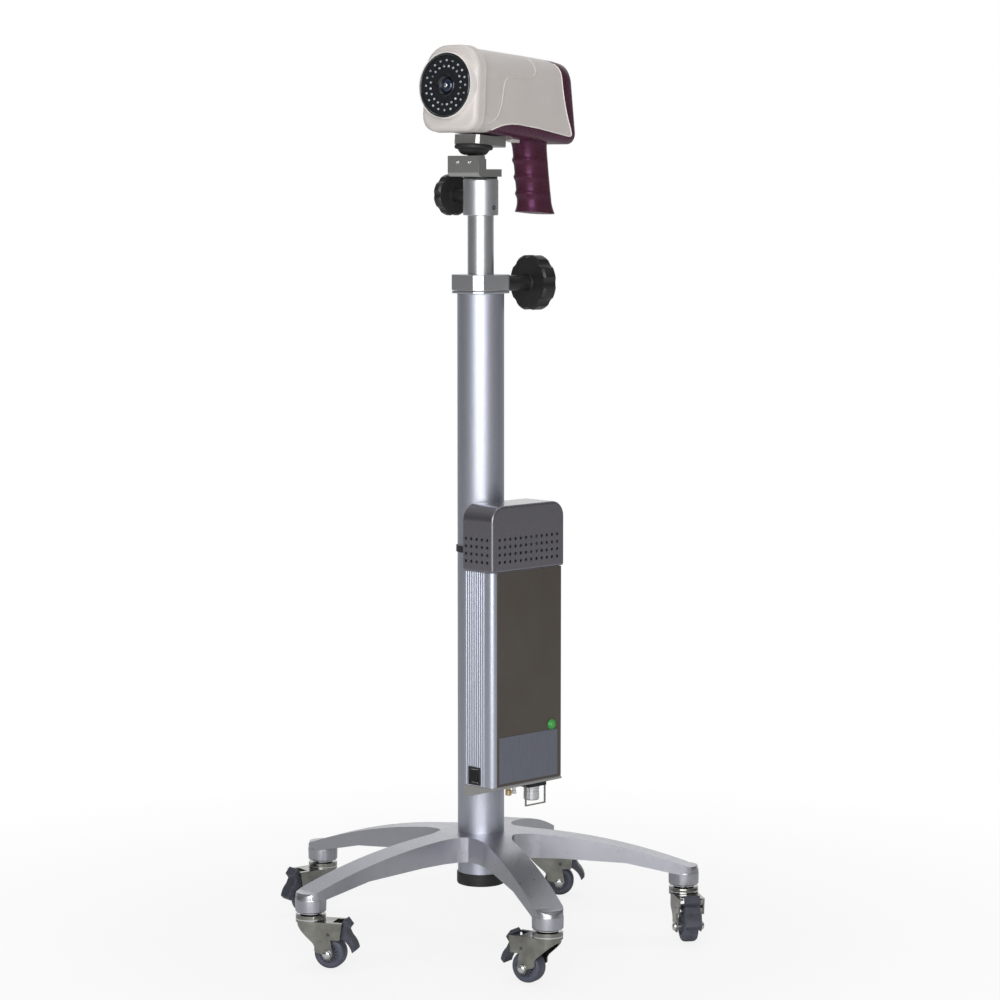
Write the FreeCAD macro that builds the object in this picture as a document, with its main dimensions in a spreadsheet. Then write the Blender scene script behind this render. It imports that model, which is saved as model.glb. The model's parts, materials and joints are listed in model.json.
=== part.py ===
import FreeCAD, Part
import math
import os
import types

import Sketcher

# A video colposcope on a five-legged castor stand. Z is up, the column's axis meets the floor at
# the origin, X points to the right of the stand as it is seen from the front.

# Driving dimensions, in millimetres and degrees
SIZES = {
    # Fits
    "press_gap": 0.02,
    "running_gap": 0.05,
    "loose_gap": 0.3,
    # Column
    "column_radius": 30.0,
    "column_wall": 2.9,
    "column_foot": 84.0,
    "column_top": 837.0,
    "mast_radius": 16.75,
    "mast_wall": 2.5,
    "mast_foot": 440.0,
    "mast_head": 948.0,
    "bush_length": 60.0,
    "piston_length": 40.0,
    "cap_radius": 31.3,
    "cap_drop": 12.0,
    "cap_plug": 12.0,
    "cap_round": 3.0,
    # Star base
    "leg_count": 5.0,
    "leg_reach": 263.5,
    "hub_radius": 46.0,
    "hub_low": 109.0,
    "hub_top": 141.5,
    "leg_root_at": 6.0,
    "leg_root_half": 32.0,
    "leg_half": 19.2,
    "flare_at": 34.0,
    "flare_half": 38.0,
    "flare_end": 77.3,
    "flare_radius": 60.0,
    "leg_top_arc": 757.0,
    "leg_tip_top": 89.6,
    "leg_mid_at": 105.0,
    "leg_mid_low": 107.2,
    "leg_knee_at": 188.0,
    "leg_knee_low": 101.0,
    "leg_tip_low": 79.0,
    "foot_radius": 18.0,
    "foot_low": 70.5,
    # Castors
    "stem_radius": 5.5,
    "stem_top": 90.0,
    "stem_head_radius": 8.5,
    "race_radius": 15.0,
    "race_low": 67.6,
    "cup_radius": 19.0,
    "cup_top": 67.0,
    "fork_top": 60.0,
    "fork_half": 17.0,
    "fork_sheet": 2.2,
    "fork_nose_low": 49.0,
    "fork_slope_at": 12.0,
    "fork_slope_low": 22.0,
    "fork_tail": 46.0,
    "fork_tail_low": 38.5,
    "fork_back_at": 31.0,
    "fork_slot_at": 32.0,
    "lug_radius": 7.5,
    "wheel_radius": 20.0,
    "wheel_half": 10.0,
    "wheel_hub_radius": 6.5,
    "wheel_hub_half": 14.6,
    "wheel_edge": 3.0,
    "trail": 26.6,
    "axle_radius": 3.0,
    "axle_head_radius": 5.5,
    "axle_head": 4.0,
    "brake_at": 28.0,
    "brake_height": 45.2,
    "brake_half": 10.0,
    "brake_eye_radius": 4.5,
    "brake_pin_radius": 2.0,
    "pad_reach": 33.5,
    "pad_low": 23.5,
    "hook_reach": 26.0,
    "hook_top": 19.0,
    "pedal_waist": 21.5,
    "castor_heading_1": -144.0,
    "castor_heading_2": -16.0,
    "castor_heading_3": 148.0,
    "castor_heading_4": -80.0,
    "castor_heading_5": -3.0,
    # Height clamp
    "clamp_half": 31.0,
    "clamp_height": 24.0,
    "clamp_corner": 10.0,
    "clamp_bevel": 2.0,
    "clamp_skirt": 18.0,
    "clamp_yaw": 40.0,
    "height_knob_radius": 36.0,
    "height_knob_at": 89.0,
    "height_knob_thick": 22.0,
    "height_boss_radius": 13.0,
    "height_boss": 18.0,
    "height_stud_radius": 5.0,
    "height_stud_rise": 12.0,
    "lobe_radius": 13.0,
    "lobe_count": 8.0,
    # Upper collar and pan clamp
    "collar_radius": 22.5,
    "collar_skirt": 12.0,
    "collar_rise": 34.0,
    "washer_thick": 3.0,
    "spigot_radius": 8.0,
    "spigot_gap": 2.0,
    "pan_yaw": 232.2,
    "pan_knob_yaw": 128.0,
    "pan_knob_radius": 27.0,
    "pan_knob_at": 60.0,
    "pan_knob_thick": 15.0,
    "pan_boss_radius": 9.0,
    "pan_boss": 14.0,
    "pan_stud_radius": 3.0,
    "pan_stud_rise": 14.0,
    "pan_lobe_radius": 9.5,
    # Angle bracket
    "bracket_front": 36.0,
    "bracket_back": -11.5,
    "bracket_half": 25.0,
    "bracket_foot": 9.5,
    "bracket_plate": 13.0,
    "bracket_height": 26.5,
    "bracket_bend": 6.0,
    "bracket_screw_pitch": 19.0,
    "bracket_screw_rise": 18.5,
    "bracket_screw_radius": 2.8,
    # Tilt joint
    "head_pitch": 4.5,
    "pivot_forward": 15.9,
    "pivot_rise": 18.1,
    "block_half": 14.0,
    "block_back": 9.5,
    "block_rise": 4.5,
    "slot_half": 5.0,
    "tongue_radius": 5.6,
    "pivot_pin_radius": 3.0,
    "bowl_low": 9.2,
    "bowl_low_radius": 14.0,
    "bowl_top": 16.0,
    "bowl_top_radius": 20.0,
    "disc_radius": 24.5,
    "disc_rim": 6.3,
    "plate_low": 22.3,
    "plate_thick": 12.0,
    "plate_front": 18.0,
    "plate_back": 44.0,
    "plate_half": 20.5,
    "plate_chamfer": 4.0,
    # Camera head
    "shell_wall": 2.6,
    "hood_front": 46.5,
    "hood_back": 20.0,
    "hood_half": 44.0,
    "hood_low": 34.6,
    "hood_top": 143.3,
    "hood_top_round": 34.0,
    "hood_low_round": 20.0,
    "hood_lip": 4.5,
    "hood_step": 1.8,
    "back_half": 36.0,
    "back_at": 132.0,
    "back_end": 162.5,
    "back_lean": 12.5,
    "back_low": 38.4,
    "back_top": 143.0,
    "back_top_round": 22.0,
    "back_low_round": 14.0,
    "back_round": 16.5,
    "seam_front": 14.0,
    "seam_rise": 18.6,
    "seam_crest_at": 47.0,
    "seam_back_at": 160.0,
    "seam_back_rise": 10.0,
    "seam_top_at": 131.0,
    "seam_top_drop": 15.0,
    "seam_front_radius": 50.0,
    "seam_crest_radius": 150.0,
    "seam_back_radius": 190.0,
    "seat_front": 8.0,
    "lens_height": 90.0,
    "bezel_radius": 40.3,
    "bezel_front": 55.5,
    "bezel_back": 36.0,
    "bezel_wall": 2.3,
    "rim_radius": 42.6,
    "rim_front": 48.5,
    "board_front": 53.0,
    "board_thick": 3.0,
    "lamp_count": 20.0,
    "lamp_radius": 2.4,
    "lamp_rise": 2.2,
    "outer_lamp_circle": 31.5,
    "inner_lamp_circle": 24.0,
    "barrel_radius": 14.0,
    "barrel_front": 54.0,
    "barrel_back": -6.0,
    "barrel_wall": 2.0,
    "glass_thick": 4.0,
    "camera_half": 19.0,
    "camera_length": 52.0,
    # Grip and trigger
    "grip_top_at": 113.0,
    "grip_rake": 13.0,
    "grip_length": 94.0,
    "grip_depth": 52.0,
    "grip_width": 36.0,
    "grip_groove": 3.6,
    "grip_flare": 4.5,
    "trigger_reach": 16.0,
    "trigger_half": 5.5,
    "trigger_height": 9.0,
    "trigger_travel": 2.5,
    # Control box
    "case_yaw": 45.0,
    "case_gap": 1.8,
    "case_width": 127.0,
    "case_depth": 52.0,
    "case_foot": 214.6,
    "case_top": 489.0,
    "case_wall": 2.5,
    "case_corner": 8.0,
    "rib_count": 9.0,
    "rib_pitch": 3.6,
    "rib_cut": 1.6,
    "rib_depth": 0.9,
    "panel_width": 104.0,
    "panel_thick": 1.5,
    "vent_height": 84.0,
    "vent_stand": 2.0,
    "vent_round": 20.0,
    "vent_wall": 2.5,
    "base_knee_at": 40.0,
    "base_knee_drop": 15.2,
    "base_back_drop": 11.4,
    "base_front_drop": 2.6,
    "base_wall": 2.5,
    "base_plug": 2.4,
    "board_at": 30.0,
    "pcb_thick": 1.6,
    "pcb_height": 190.0,
    "vent_pitch": 9.5,
    "vent_hole": 3.3,
    "vent_first_rise": 13.0,
    "vent_columns": 12.0,
    "vent_side_columns": 5.0,
    "vent_rows": 4.0,
    "strap_rise": 21.0,
    "strap_half": 4.0,
    "rail_half": 11.0,
    "rail_inset": 22.0,
    "switch_width": 20.0,
    "switch_height": 23.0,
    "switch_at": 52.0,
    "switch_rise": 13.0,
    "switch_depth": 16.0,
    "bezel_lip": 1.2,
    "rocker_gap": 0.35,
    "inlet_at": 36.0,
    "inlet_row": 56.0,
    "inlet_half": 16.0,
    "inlet_side": 11.5,
    "inlet_drop": 11.9,
    "socket_radius": 8.8,
    "socket_drop": 18.4,
    "bail_wire": 0.9,
    "bail_half": 17.6,
    "bail_pin_radius": 1.2,
    "bail_pin": 3.0,
    "bail_reach": 25.0,
    "bail_row": 63.0,
    "bail_drop": 1.5,
    "post_at": -20.5,
    "post_row": 70.0,
    "post_radius": 3.9,
    "post_drop": 15.8,
    "terminal_at": -10.5,
    "terminal_radius": 3.2,
}

doc = FreeCAD.newDocument("video_colposcope")
sheet = doc.addObject("Spreadsheet::Sheet", "Sizes")
for row, (alias, number) in enumerate(SIZES.items(), start=1):
    sheet.set(f"A{row}", alias)
    sheet.set(f"B{row}", str(number))
    sheet.setAlias(f"B{row}", alias)
doc.recompute()


class Size:
    """A number together with the sheet formula that it comes from."""

    def __init__(self, value, formula):
        self.value = float(value)
        self.formula = formula

    def __add__(self, other):
        other = as_size(other)
        return Size(self.value + other.value, f"({self.formula} + {other.formula})")

    def __sub__(self, other):
        other = as_size(other)
        return Size(self.value - other.value, f"({self.formula} - {other.formula})")

    def __mul__(self, other):
        other = as_size(other)
        return Size(self.value * other.value, f"({self.formula} * {other.formula})")

    def __truediv__(self, other):
        other = as_size(other)
        return Size(self.value / other.value, f"({self.formula} / {other.formula})")

    def __radd__(self, other):
        return as_size(other) + self

    def __rsub__(self, other):
        return as_size(other) - self

    def __rmul__(self, other):
        return as_size(other) * self

    def __rtruediv__(self, other):
        return as_size(other) / self

    def __neg__(self):
        return Size(-self.value, f"(0 - {self.formula})")


def as_size(number):
    """A plain number as a Size of the same value."""
    if isinstance(number, Size):
        return number
    return Size(number, f"({float(number)!r})")


def cosine(angle):
    """Cosine of an angle in degrees."""
    angle = as_size(angle)
    return Size(math.cos(math.radians(angle.value)), f"cos({angle.formula})")


def sine(angle):
    """Sine of an angle in degrees."""
    angle = as_size(angle)
    return Size(math.sin(math.radians(angle.value)), f"sin({angle.formula})")


def mix(start, end, share):
    """The size that lies at a share of the way from start to end."""
    return as_size(start) + (as_size(end) - start) * share


s = types.SimpleNamespace(**{alias: Size(number, f"Sizes.{alias}") for alias, number in SIZES.items()})

# Heights that follow from other sizes

s.cap_foot = s.column_foot - s.cap_drop
s.height_stud_z = s.column_top + s.height_stud_rise
s.collar_foot = s.mast_head - s.collar_skirt
s.collar_top = s.mast_head + s.collar_rise
s.spigot_foot = s.mast_head + s.spigot_gap
s.pan_stud_z = s.mast_head + s.pan_stud_rise
s.bracket_seat = s.collar_top + s.washer_thick
s.bracket_screw_z = s.bracket_seat + s.bracket_screw_rise
s.pivot_height = s.bracket_seat + s.pivot_rise
s.base_knee_low = s.case_foot - s.base_knee_drop
s.base_back_low = s.case_foot - s.base_back_drop
s.base_front_low = s.case_foot - s.base_front_drop
s.vent_first = s.case_top + s.vent_first_rise
s.strap_z = s.case_top + s.strap_rise
s.rail_low = s.case_foot + s.rail_inset
s.rail_high = s.case_top - s.rail_inset
s.switch_z = s.case_foot + s.switch_rise
s.inlet_low = s.case_foot - s.inlet_drop
s.post_low = s.case_foot - s.post_drop

pieces = []


def frame(x=0, y=0, z=0, yaw=0, pitch=0, roll=0, base=None):
    """The formula of a placement: turned by roll, pitch and yaw, moved, then carried by its base."""
    move = "; ".join(as_size(value).formula for value in (x, y, z))
    turn = "; ".join(as_size(value).formula for value in (yaw, pitch, roll))
    own = f"placement(vector({move}); rotation({turn}))"
    return f"{base} * {own}" if base else own


class Piece:
    """One body, built feature by feature in its own frame."""

    def __init__(self, label, place=None, kept=True):
        self.body = doc.addObject("PartDesign::Body", label)
        self.body.Label = label
        if place:
            self.body.setExpression("Placement", place)
        if kept:
            pieces.append(self.body)

    def origin(self, role):
        """The body's own origin plane or axis of this role."""
        return next(item for item in self.body.Origin.OriginFeatures if item.Role == role)

    def sketch(self, plane, offset=0):
        """An empty sketch on an origin plane, moved along the plane's normal."""
        drawing = self.body.newObject("Sketcher::SketchObject", "sketch")
        drawing.AttachmentSupport = [(self.origin(plane + "_Plane"), "")]
        drawing.MapMode = "FlatFace"
        drawing.setExpression("AttachmentOffset", frame(z=offset))
        return drawing

    def feature(self, kind, **values):
        """A new feature at the tip of the body."""
        made = self.body.newObject("PartDesign::" + kind, kind.lower())
        for name, value in values.items():
            if isinstance(value, Size):
                made.setExpression(name, value.formula)
            else:
                setattr(made, name, value)
        self.body.Tip = made
        return made

    def pad(self, drawing, length, both=False, back=False):
        """Material over the sketch: to one side, or half of it to each side."""
        side = "Symmetric" if both else "One side"
        return self.feature("Pad", Profile=drawing, SideType=side, Reversed=back, Length=as_size(length))

    def pocket(self, drawing, length, both=False, back=False):
        """A cut over the sketch: against its normal, or half of it to each side."""
        side = "Symmetric" if both else "One side"
        return self.feature("Pocket", Profile=drawing, SideType=side, Reversed=back, Length=as_size(length))

    def revolve(self, points):
        """Material turned about Z from a profile of radius and height."""
        drawing = self.sketch("XZ")
        outline(drawing, points)
        return self.feature("Revolution", Profile=drawing, ReferenceAxis=(drawing, ["V_Axis"]), Angle=360)

    def loft(self, drawings, cut=False, ruled=False):
        """A skin through the sketches, as material or as a cut."""
        kind = "SubtractiveLoft" if cut else "AdditiveLoft"
        return self.feature(kind, Profile=drawings[0], Sections=drawings[1:], Ruled=ruled)

    def polar(self, features, count):
        """Copies of the features, spaced evenly about Z."""
        axis = (self.origin("Z_Axis"), [""])
        return self.feature("PolarPattern", Originals=features, Axis=axis, Angle=360, Occurrences=as_size(count))

    def row(self, features, axis, pitch, count):
        """Copies of the features in a row along an origin axis."""
        return self.feature(
            "LinearPattern",
            Originals=features,
            Direction=(self.origin(axis + "_Axis"), [""]),
            Mode="Spacing",
            Offset=as_size(pitch),
            Occurrences=as_size(count),
        )

    def edges(self, wanted):
        """The names of the tip's edges that a test picks."""
        doc.recompute()
        found = enumerate(self.body.Tip.Shape.Edges, start=1)
        return [f"Edge{number}" for number, edge in found if wanted(edge)]

    def chamfer(self, size, wanted):
        """Bevel the edges that a test picks."""
        names = self.edges(wanted)
        return self.feature("Chamfer", Base=(self.body.Tip, names), Size=as_size(size))


def group(label, members):
    """Several bodies under one label."""
    compound(label, [member.body for member in members])


def compound(label, members):
    """Several objects under one label."""
    made = doc.addObject("Part::Compound", label)
    made.Label = label
    made.Links = members
    pieces.append(made)


def fused(label, members):
    """Several touching objects as one solid under one label."""
    made = doc.addObject("Part::MultiFuse", label)
    made.Label = label
    made.Shapes = members
    pieces.append(made)


def prism(label, place, radius, height):
    """A four-sided stud or tool on the XY plane of its own frame."""
    made = doc.addObject("Part::Prism", label)
    made.Polygon = 4
    made.setExpression("Circumradius", as_size(radius).formula)
    made.setExpression("Height", as_size(height).formula)
    made.setExpression("Placement", place)
    return made


def fix(drawing, kind, element, point, value):
    """Hold one coordinate of a sketch point at a size."""
    value = as_size(value)
    number = drawing.addConstraint(Sketcher.Constraint(kind, -1, 1, element, point, value.value))
    drawing.setExpression(f"Constraints[{number}]", value.formula)


def arc_between(start, end, radius):
    """The short arc between two points: a positive radius bulges to the right of the way there."""
    middle = (start + end) * 0.5
    way = end - start
    reach = math.sqrt(max(radius * radius - way.Length * way.Length / 4, 0))
    left = FreeCAD.Vector(-way.y, way.x, 0).normalize()
    centre = middle + left * (reach if radius > 0 else -reach)
    circle = Part.Circle(centre, FreeCAD.Vector(0, 0, 1), abs(radius))
    first, last = (start, end) if radius > 0 else (end, start)
    return Part.ArcOfCircle(circle, circle.parameter(first), circle.parameter(last))


def outline(drawing, points):
    """Close a profile through points; a third value is the radius of the arc that ends there."""
    points = [tuple(as_size(value) for value in point) for point in points]
    corners = [FreeCAD.Vector(point[0].value, point[1].value, 0) for point in points]
    ends = []
    for place, point in enumerate(points):
        start, end = corners[place - 1], corners[place]
        if len(point) == 3:
            element = drawing.addGeometry(arc_between(start, end, point[2].value))
            swapped = point[2].value < 0
            radius = point[2] if point[2].value > 0 else -point[2]
            way = end - start
            if abs(way.Length - 2 * radius.value) > 1e-6:
                number = drawing.addConstraint(Sketcher.Constraint("Radius", element, radius.value))
                drawing.setExpression(f"Constraints[{number}]", radius.formula)
            elif abs(way.y) > abs(way.x):
                fix(drawing, "DistanceX", element, 3, (points[place - 1][0] + point[0]) / 2)
            else:
                fix(drawing, "DistanceY", element, 3, (points[place - 1][1] + point[1]) / 2)
        else:
            element = drawing.addGeometry(Part.LineSegment(start, end))
            swapped = False
        ends.append((element, 2 if swapped else 1, 1 if swapped else 2))
    for place, point in enumerate(points):
        element, _, last = ends[place]
        following, first, _ = ends[(place + 1) % len(points)]
        drawing.addConstraint(Sketcher.Constraint("Coincident", element, last, following, first))
        fix(drawing, "DistanceX", element, last, point[0])
        fix(drawing, "DistanceY", element, last, point[1])


def circle(drawing, x, y, radius):
    """A circle in a sketch."""
    x, y, radius = as_size(x), as_size(y), as_size(radius)
    centre = FreeCAD.Vector(x.value, y.value, 0)
    element = drawing.addGeometry(Part.Circle(centre, FreeCAD.Vector(0, 0, 1), radius.value))
    fix(drawing, "DistanceX", element, 3, x)
    fix(drawing, "DistanceY", element, 3, y)
    number = drawing.addConstraint(Sketcher.Constraint("Radius", element, radius.value))
    drawing.setExpression(f"Constraints[{number}]", radius.formula)


def rectangle(drawing, left, low, right, high):
    """A rectangle in a sketch."""
    outline(drawing, [(left, low), (right, low), (right, high), (left, high)])


def hexagon(drawing, x, y, radius):
    """A hexagon in a sketch, sized by its corners."""
    outline(drawing, [(x + radius * cosine(turn), y + radius * sine(turn)) for turn in range(0, 360, 60)])


def rounded(drawing, left, low, right, high, low_round, high_round=None):
    """A rectangle with one radius on its lower corners and one on its upper corners."""
    left, low, right, high, a = (as_size(value) for value in (left, low, right, high, low_round))
    b = as_size(high_round if high_round is not None else low_round)
    outline(
        drawing,
        [
            (left + a, low),
            (right - a, low),
            (right, low + a, a),
            (right, high - b),
            (right - b, high, b),
            (left + b, high),
            (left, high - b, b),
            (left, low + a),
            (left + a, low, a),
        ][1:],
    )


def at_height(edge, height):
    """True for an edge that lies level at this height."""
    box = edge.BoundBox
    return abs(box.ZMin - height.value) < 1e-4 and abs(box.ZMax - height.value) < 1e-4


# Star base: a cast hub, legs that arch down to their castor bosses, and the column's bore


def star_base():
    base = Piece("star_base")
    bore = s.column_radius + s.press_gap
    base.revolve([(bore, s.hub_low), (s.hub_radius, s.hub_low), (s.hub_radius, s.hub_top), (bore, s.hub_top)])
    half = s.leg_half
    reach = s.leg_reach
    plan = base.sketch("XY", s.foot_low)
    outline(
        plan,
        [
            (s.leg_root_at, -s.leg_root_half / 4),
            (s.flare_at, -s.flare_half),
            (s.flare_end, -half, -s.flare_radius),
            (reach, -half),
            (reach, half, half),
            (s.flare_end, half),
            (s.flare_at, s.flare_half, -s.flare_radius),
            (s.leg_root_at, s.leg_root_half / 4),
        ],
    )
    leg = base.pad(plan, s.hub_top - s.foot_low)
    outer = reach + half + 2
    sides = base.sketch("XZ")
    outline(
        sides,
        [
            (s.hub_radius, s.hub_top),
            (outer, s.leg_tip_top, -s.leg_top_arc),
            (outer, s.hub_top + 5),
            (s.hub_radius, s.hub_top + 5),
        ],
    )
    outline(
        sides,
        [
            (s.leg_root_at - 1, s.foot_low - 2),
            (outer, s.foot_low - 2),
            (outer, s.leg_tip_low),
            (s.leg_knee_at, s.leg_knee_low),
            (s.leg_mid_at, s.leg_mid_low),
            (s.hub_radius, s.hub_low),
            (s.leg_root_at - 1, s.hub_low),
        ],
    )
    arch = base.pocket(sides, 2 * s.flare_half + 4, both=True)
    boss_plan = base.sketch("XY", s.foot_low)
    circle(boss_plan, reach, 0, s.foot_radius)
    boss = base.pad(boss_plan, s.leg_knee_low - s.foot_low - 6)
    stem_hole = base.sketch("XY", s.foot_low)
    circle(stem_hole, reach, 0, s.stem_radius + s.press_gap)
    hole = base.pocket(stem_hole, s.stem_top - s.foot_low + 0.5, back=True)
    base.polar([leg, arch, boss, hole], s.leg_count)
    column_bore = base.sketch("XY", s.hub_low - 5)
    circle(column_bore, 0, 0, bore)
    base.pocket(column_bore, s.hub_top - s.hub_low + 20, back=True)


def turned(label, points, place=None, kept=True):
    """A piece turned about its own Z axis."""
    made = Piece(label, place, kept)
    made.revolve(points)
    return made


def column_parts():
    inside = s.column_radius - s.column_wall
    turned(
        "outer_column",
        [
            (inside, s.column_foot),
            (s.column_radius, s.column_foot),
            (s.column_radius, s.column_top),
            (inside, s.column_top),
        ],
    )
    plug = inside - s.press_gap
    turned(
        "hub_cap",
        [
            (0, s.cap_foot),
            (s.cap_radius - s.cap_round, s.cap_foot),
            (s.cap_radius, s.cap_foot + s.cap_round),
            (s.cap_radius, s.column_foot),
            (plug, s.column_foot),
            (plug, s.column_foot + s.cap_plug),
            (plug - 3, s.column_foot + s.cap_plug),
            (plug - 3, s.column_foot),
            (0, s.column_foot),
        ],
    )
    bush_top = s.column_top - s.clamp_skirt
    turned(
        "column_bush",
        [
            (s.mast_radius + s.running_gap, bush_top - s.bush_length),
            (plug, bush_top - s.bush_length),
            (plug, bush_top),
            (s.mast_radius + s.running_gap, bush_top),
        ],
    )
    mast_inside = s.mast_radius - s.mast_wall
    turned(
        "inner_column",
        [
            (mast_inside, s.mast_foot),
            (s.mast_radius, s.mast_foot),
            (s.mast_radius, s.mast_head),
            (mast_inside, s.mast_head),
        ],
    )
    slide = inside - s.running_gap
    turned(
        "guide_piston",
        [
            (0, s.mast_foot - 6),
            (slide, s.mast_foot - 6),
            (slide, s.mast_foot - 6 + s.piston_length),
            (s.mast_radius + s.press_gap, s.mast_foot - 6 + s.piston_length),
            (s.mast_radius + s.press_gap, s.mast_foot),
            (0, s.mast_foot),
        ],
    )


def clamp_collar():
    collar = Piece("clamp_collar", frame(yaw=s.clamp_yaw))
    half = s.clamp_half
    cut = s.clamp_corner
    plan = collar.sketch("XY", s.column_top)
    outline(
        plan,
        [
            (half, cut - half),
            (half, half - cut),
            (half - cut, half),
            (cut - half, half),
            (-half, half - cut),
            (-half, cut - half),
            (cut - half, -half),
            (half - cut, -half),
        ],
    )
    collar.pad(plan, s.clamp_height)
    skirt = collar.sketch("XY", s.column_top)
    circle(skirt, 0, 0, s.column_radius - s.column_wall - s.press_gap)
    collar.pad(skirt, s.clamp_skirt, back=True)
    bore = collar.sketch("XY", s.column_top - s.clamp_skirt)
    circle(bore, 0, 0, s.mast_radius + s.running_gap)
    collar.pocket(bore, s.clamp_skirt + s.clamp_height, back=True)
    stud_hole = collar.sketch("YZ")
    circle(stud_hole, 0, s.height_stud_z, s.height_stud_radius + s.running_gap)
    collar.pocket(stud_hole, half + 1, back=True)
    top = s.column_top + s.clamp_height

    def outer_edge(edge):
        straight = edge.Curve.TypeId == "Part::GeomLine"
        return straight and (at_height(edge, top) or at_height(edge, s.column_top))

    collar.chamfer(s.clamp_bevel, outer_edge)


def knob(label, frame_of_axis, at, radius, thick, boss_radius, boss, stud_radius, stud_tip, lobe):
    """A lobed hand knob on its stud; its axis is local Z, and its head is centred at a distance from it."""
    head = Piece(label + "_head", frame_of_axis, kept=False)
    start = at - thick / 2
    head.revolve(
        [
            (stud_radius, start - boss),
            (boss_radius, start - boss),
            (boss_radius, start),
            (radius, start),
            (radius, start + thick - 3),
            (radius - 4, start + thick),
            (stud_radius, start + thick),
        ]
    )
    flute = head.sketch("XY", start - 0.5)
    circle(flute, radius + lobe * 0.62, 0, lobe * 0.8)
    cut = head.pocket(flute, thick + 1, back=True)
    head.polar([cut], s.lobe_count)
    cap = head.sketch("XY", start + thick - 4)
    circle(cap, 0, 0, stud_radius)
    head.pad(cap, 4)
    stud = turned(
        label + "_stud",
        [(0, stud_tip), (stud_radius, stud_tip), (stud_radius, start + thick - 4), (0, start + thick - 4)],
        frame_of_axis,
        kept=False,
    )
    group(label, [head, stud])


def knobs():
    across = frame(yaw=s.clamp_yaw, pitch=90, z=s.height_stud_z)
    knob(
        "height_knob",
        across,
        s.height_knob_at,
        s.height_knob_radius,
        s.height_knob_thick,
        s.height_boss_radius,
        s.height_boss,
        s.height_stud_radius,
        s.mast_radius + s.loose_gap,
        s.lobe_radius,
    )
    across = frame(yaw=s.pan_knob_yaw, pitch=90, z=s.pan_stud_z)
    knob(
        "pan_knob",
        across,
        s.pan_knob_at,
        s.pan_knob_radius,
        s.pan_knob_thick,
        s.pan_boss_radius,
        s.pan_boss,
        s.pan_stud_radius,
        s.spigot_radius + s.loose_gap,
        s.pan_lobe_radius,
    )


def upper_collar():
    collar = turned(
        "upper_collar",
        [
            (s.mast_radius + s.press_gap, s.collar_foot),
            (s.collar_radius, s.collar_foot),
            (s.collar_radius, s.collar_top),
            (s.spigot_radius + s.running_gap, s.collar_top),
            (s.spigot_radius + s.running_gap, s.mast_head),
            (s.mast_radius + s.press_gap, s.mast_head),
        ],
        frame(yaw=s.pan_knob_yaw),
    )
    stud_hole = collar.sketch("YZ")
    circle(stud_hole, 0, s.pan_stud_z, s.pan_stud_radius + s.running_gap)
    collar.pocket(stud_hole, s.collar_radius + 1, back=True)
    turned(
        "column_washer",
        [
            (s.spigot_radius + s.running_gap, s.collar_top),
            (s.collar_radius, s.collar_top),
            (s.collar_radius, s.collar_top + s.washer_thick),
            (s.spigot_radius + s.running_gap, s.collar_top + s.washer_thick),
        ],
    )
    seat = s.bracket_seat
    turned(
        "pan_spigot",
        [
            (0, s.spigot_foot),
            (s.spigot_radius, s.spigot_foot),
            (s.spigot_radius, seat + s.bracket_foot),
            (0, seat + s.bracket_foot),
        ],
    )


# Angle bracket: foot, upright plate with a rounded bend, two cap screws from the front


PAN = frame(yaw=s.pan_yaw)
seat = s.bracket_seat
plate_top = seat + s.bracket_height


def angle_bracket():
    bracket = Piece("angle_bracket", PAN)
    side = bracket.sketch("XZ")
    front = s.bracket_front
    outline(
        side,
        [
            (s.bracket_back, seat),
            (front - s.bracket_bend, seat),
            (front, seat + s.bracket_bend, s.bracket_bend),
            (front, plate_top),
            (front - s.bracket_plate, plate_top),
            (front - s.bracket_plate, seat + s.bracket_foot),
            (s.bracket_back, seat + s.bracket_foot),
        ],
    )
    bracket.pad(side, 2 * s.bracket_half, both=True)
    hole = bracket.sketch("XY", seat)
    circle(hole, 0, 0, s.spigot_radius + s.press_gap)
    bracket.pocket(hole, s.bracket_foot + 1, back=True)
    for hand in (-1, 1):
        bore = bracket.sketch("YZ", front - s.bracket_plate - 1)
        circle(bore, hand * s.bracket_screw_pitch / 2, s.bracket_screw_z, s.bracket_screw_radius + s.press_gap)
        bracket.pocket(bore, s.bracket_plate + 2, back=True)
    screws = []
    for hand in (-1, 1):
        place = frame(y=hand * s.bracket_screw_pitch / 2, z=s.bracket_screw_z, pitch=90, base=PAN)
        tip = s.pivot_forward + s.block_rise
        screws.append(
            turned(
                f"bracket_screw_{hand + 2}",
                [
                    (0, tip),
                    (s.bracket_screw_radius, tip),
                    (s.bracket_screw_radius, front - 0.5),
                    (0, front - 0.5),
                ],
                place,
                kept=False,
            )
        )
    group("bracket_screws", screws)


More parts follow.
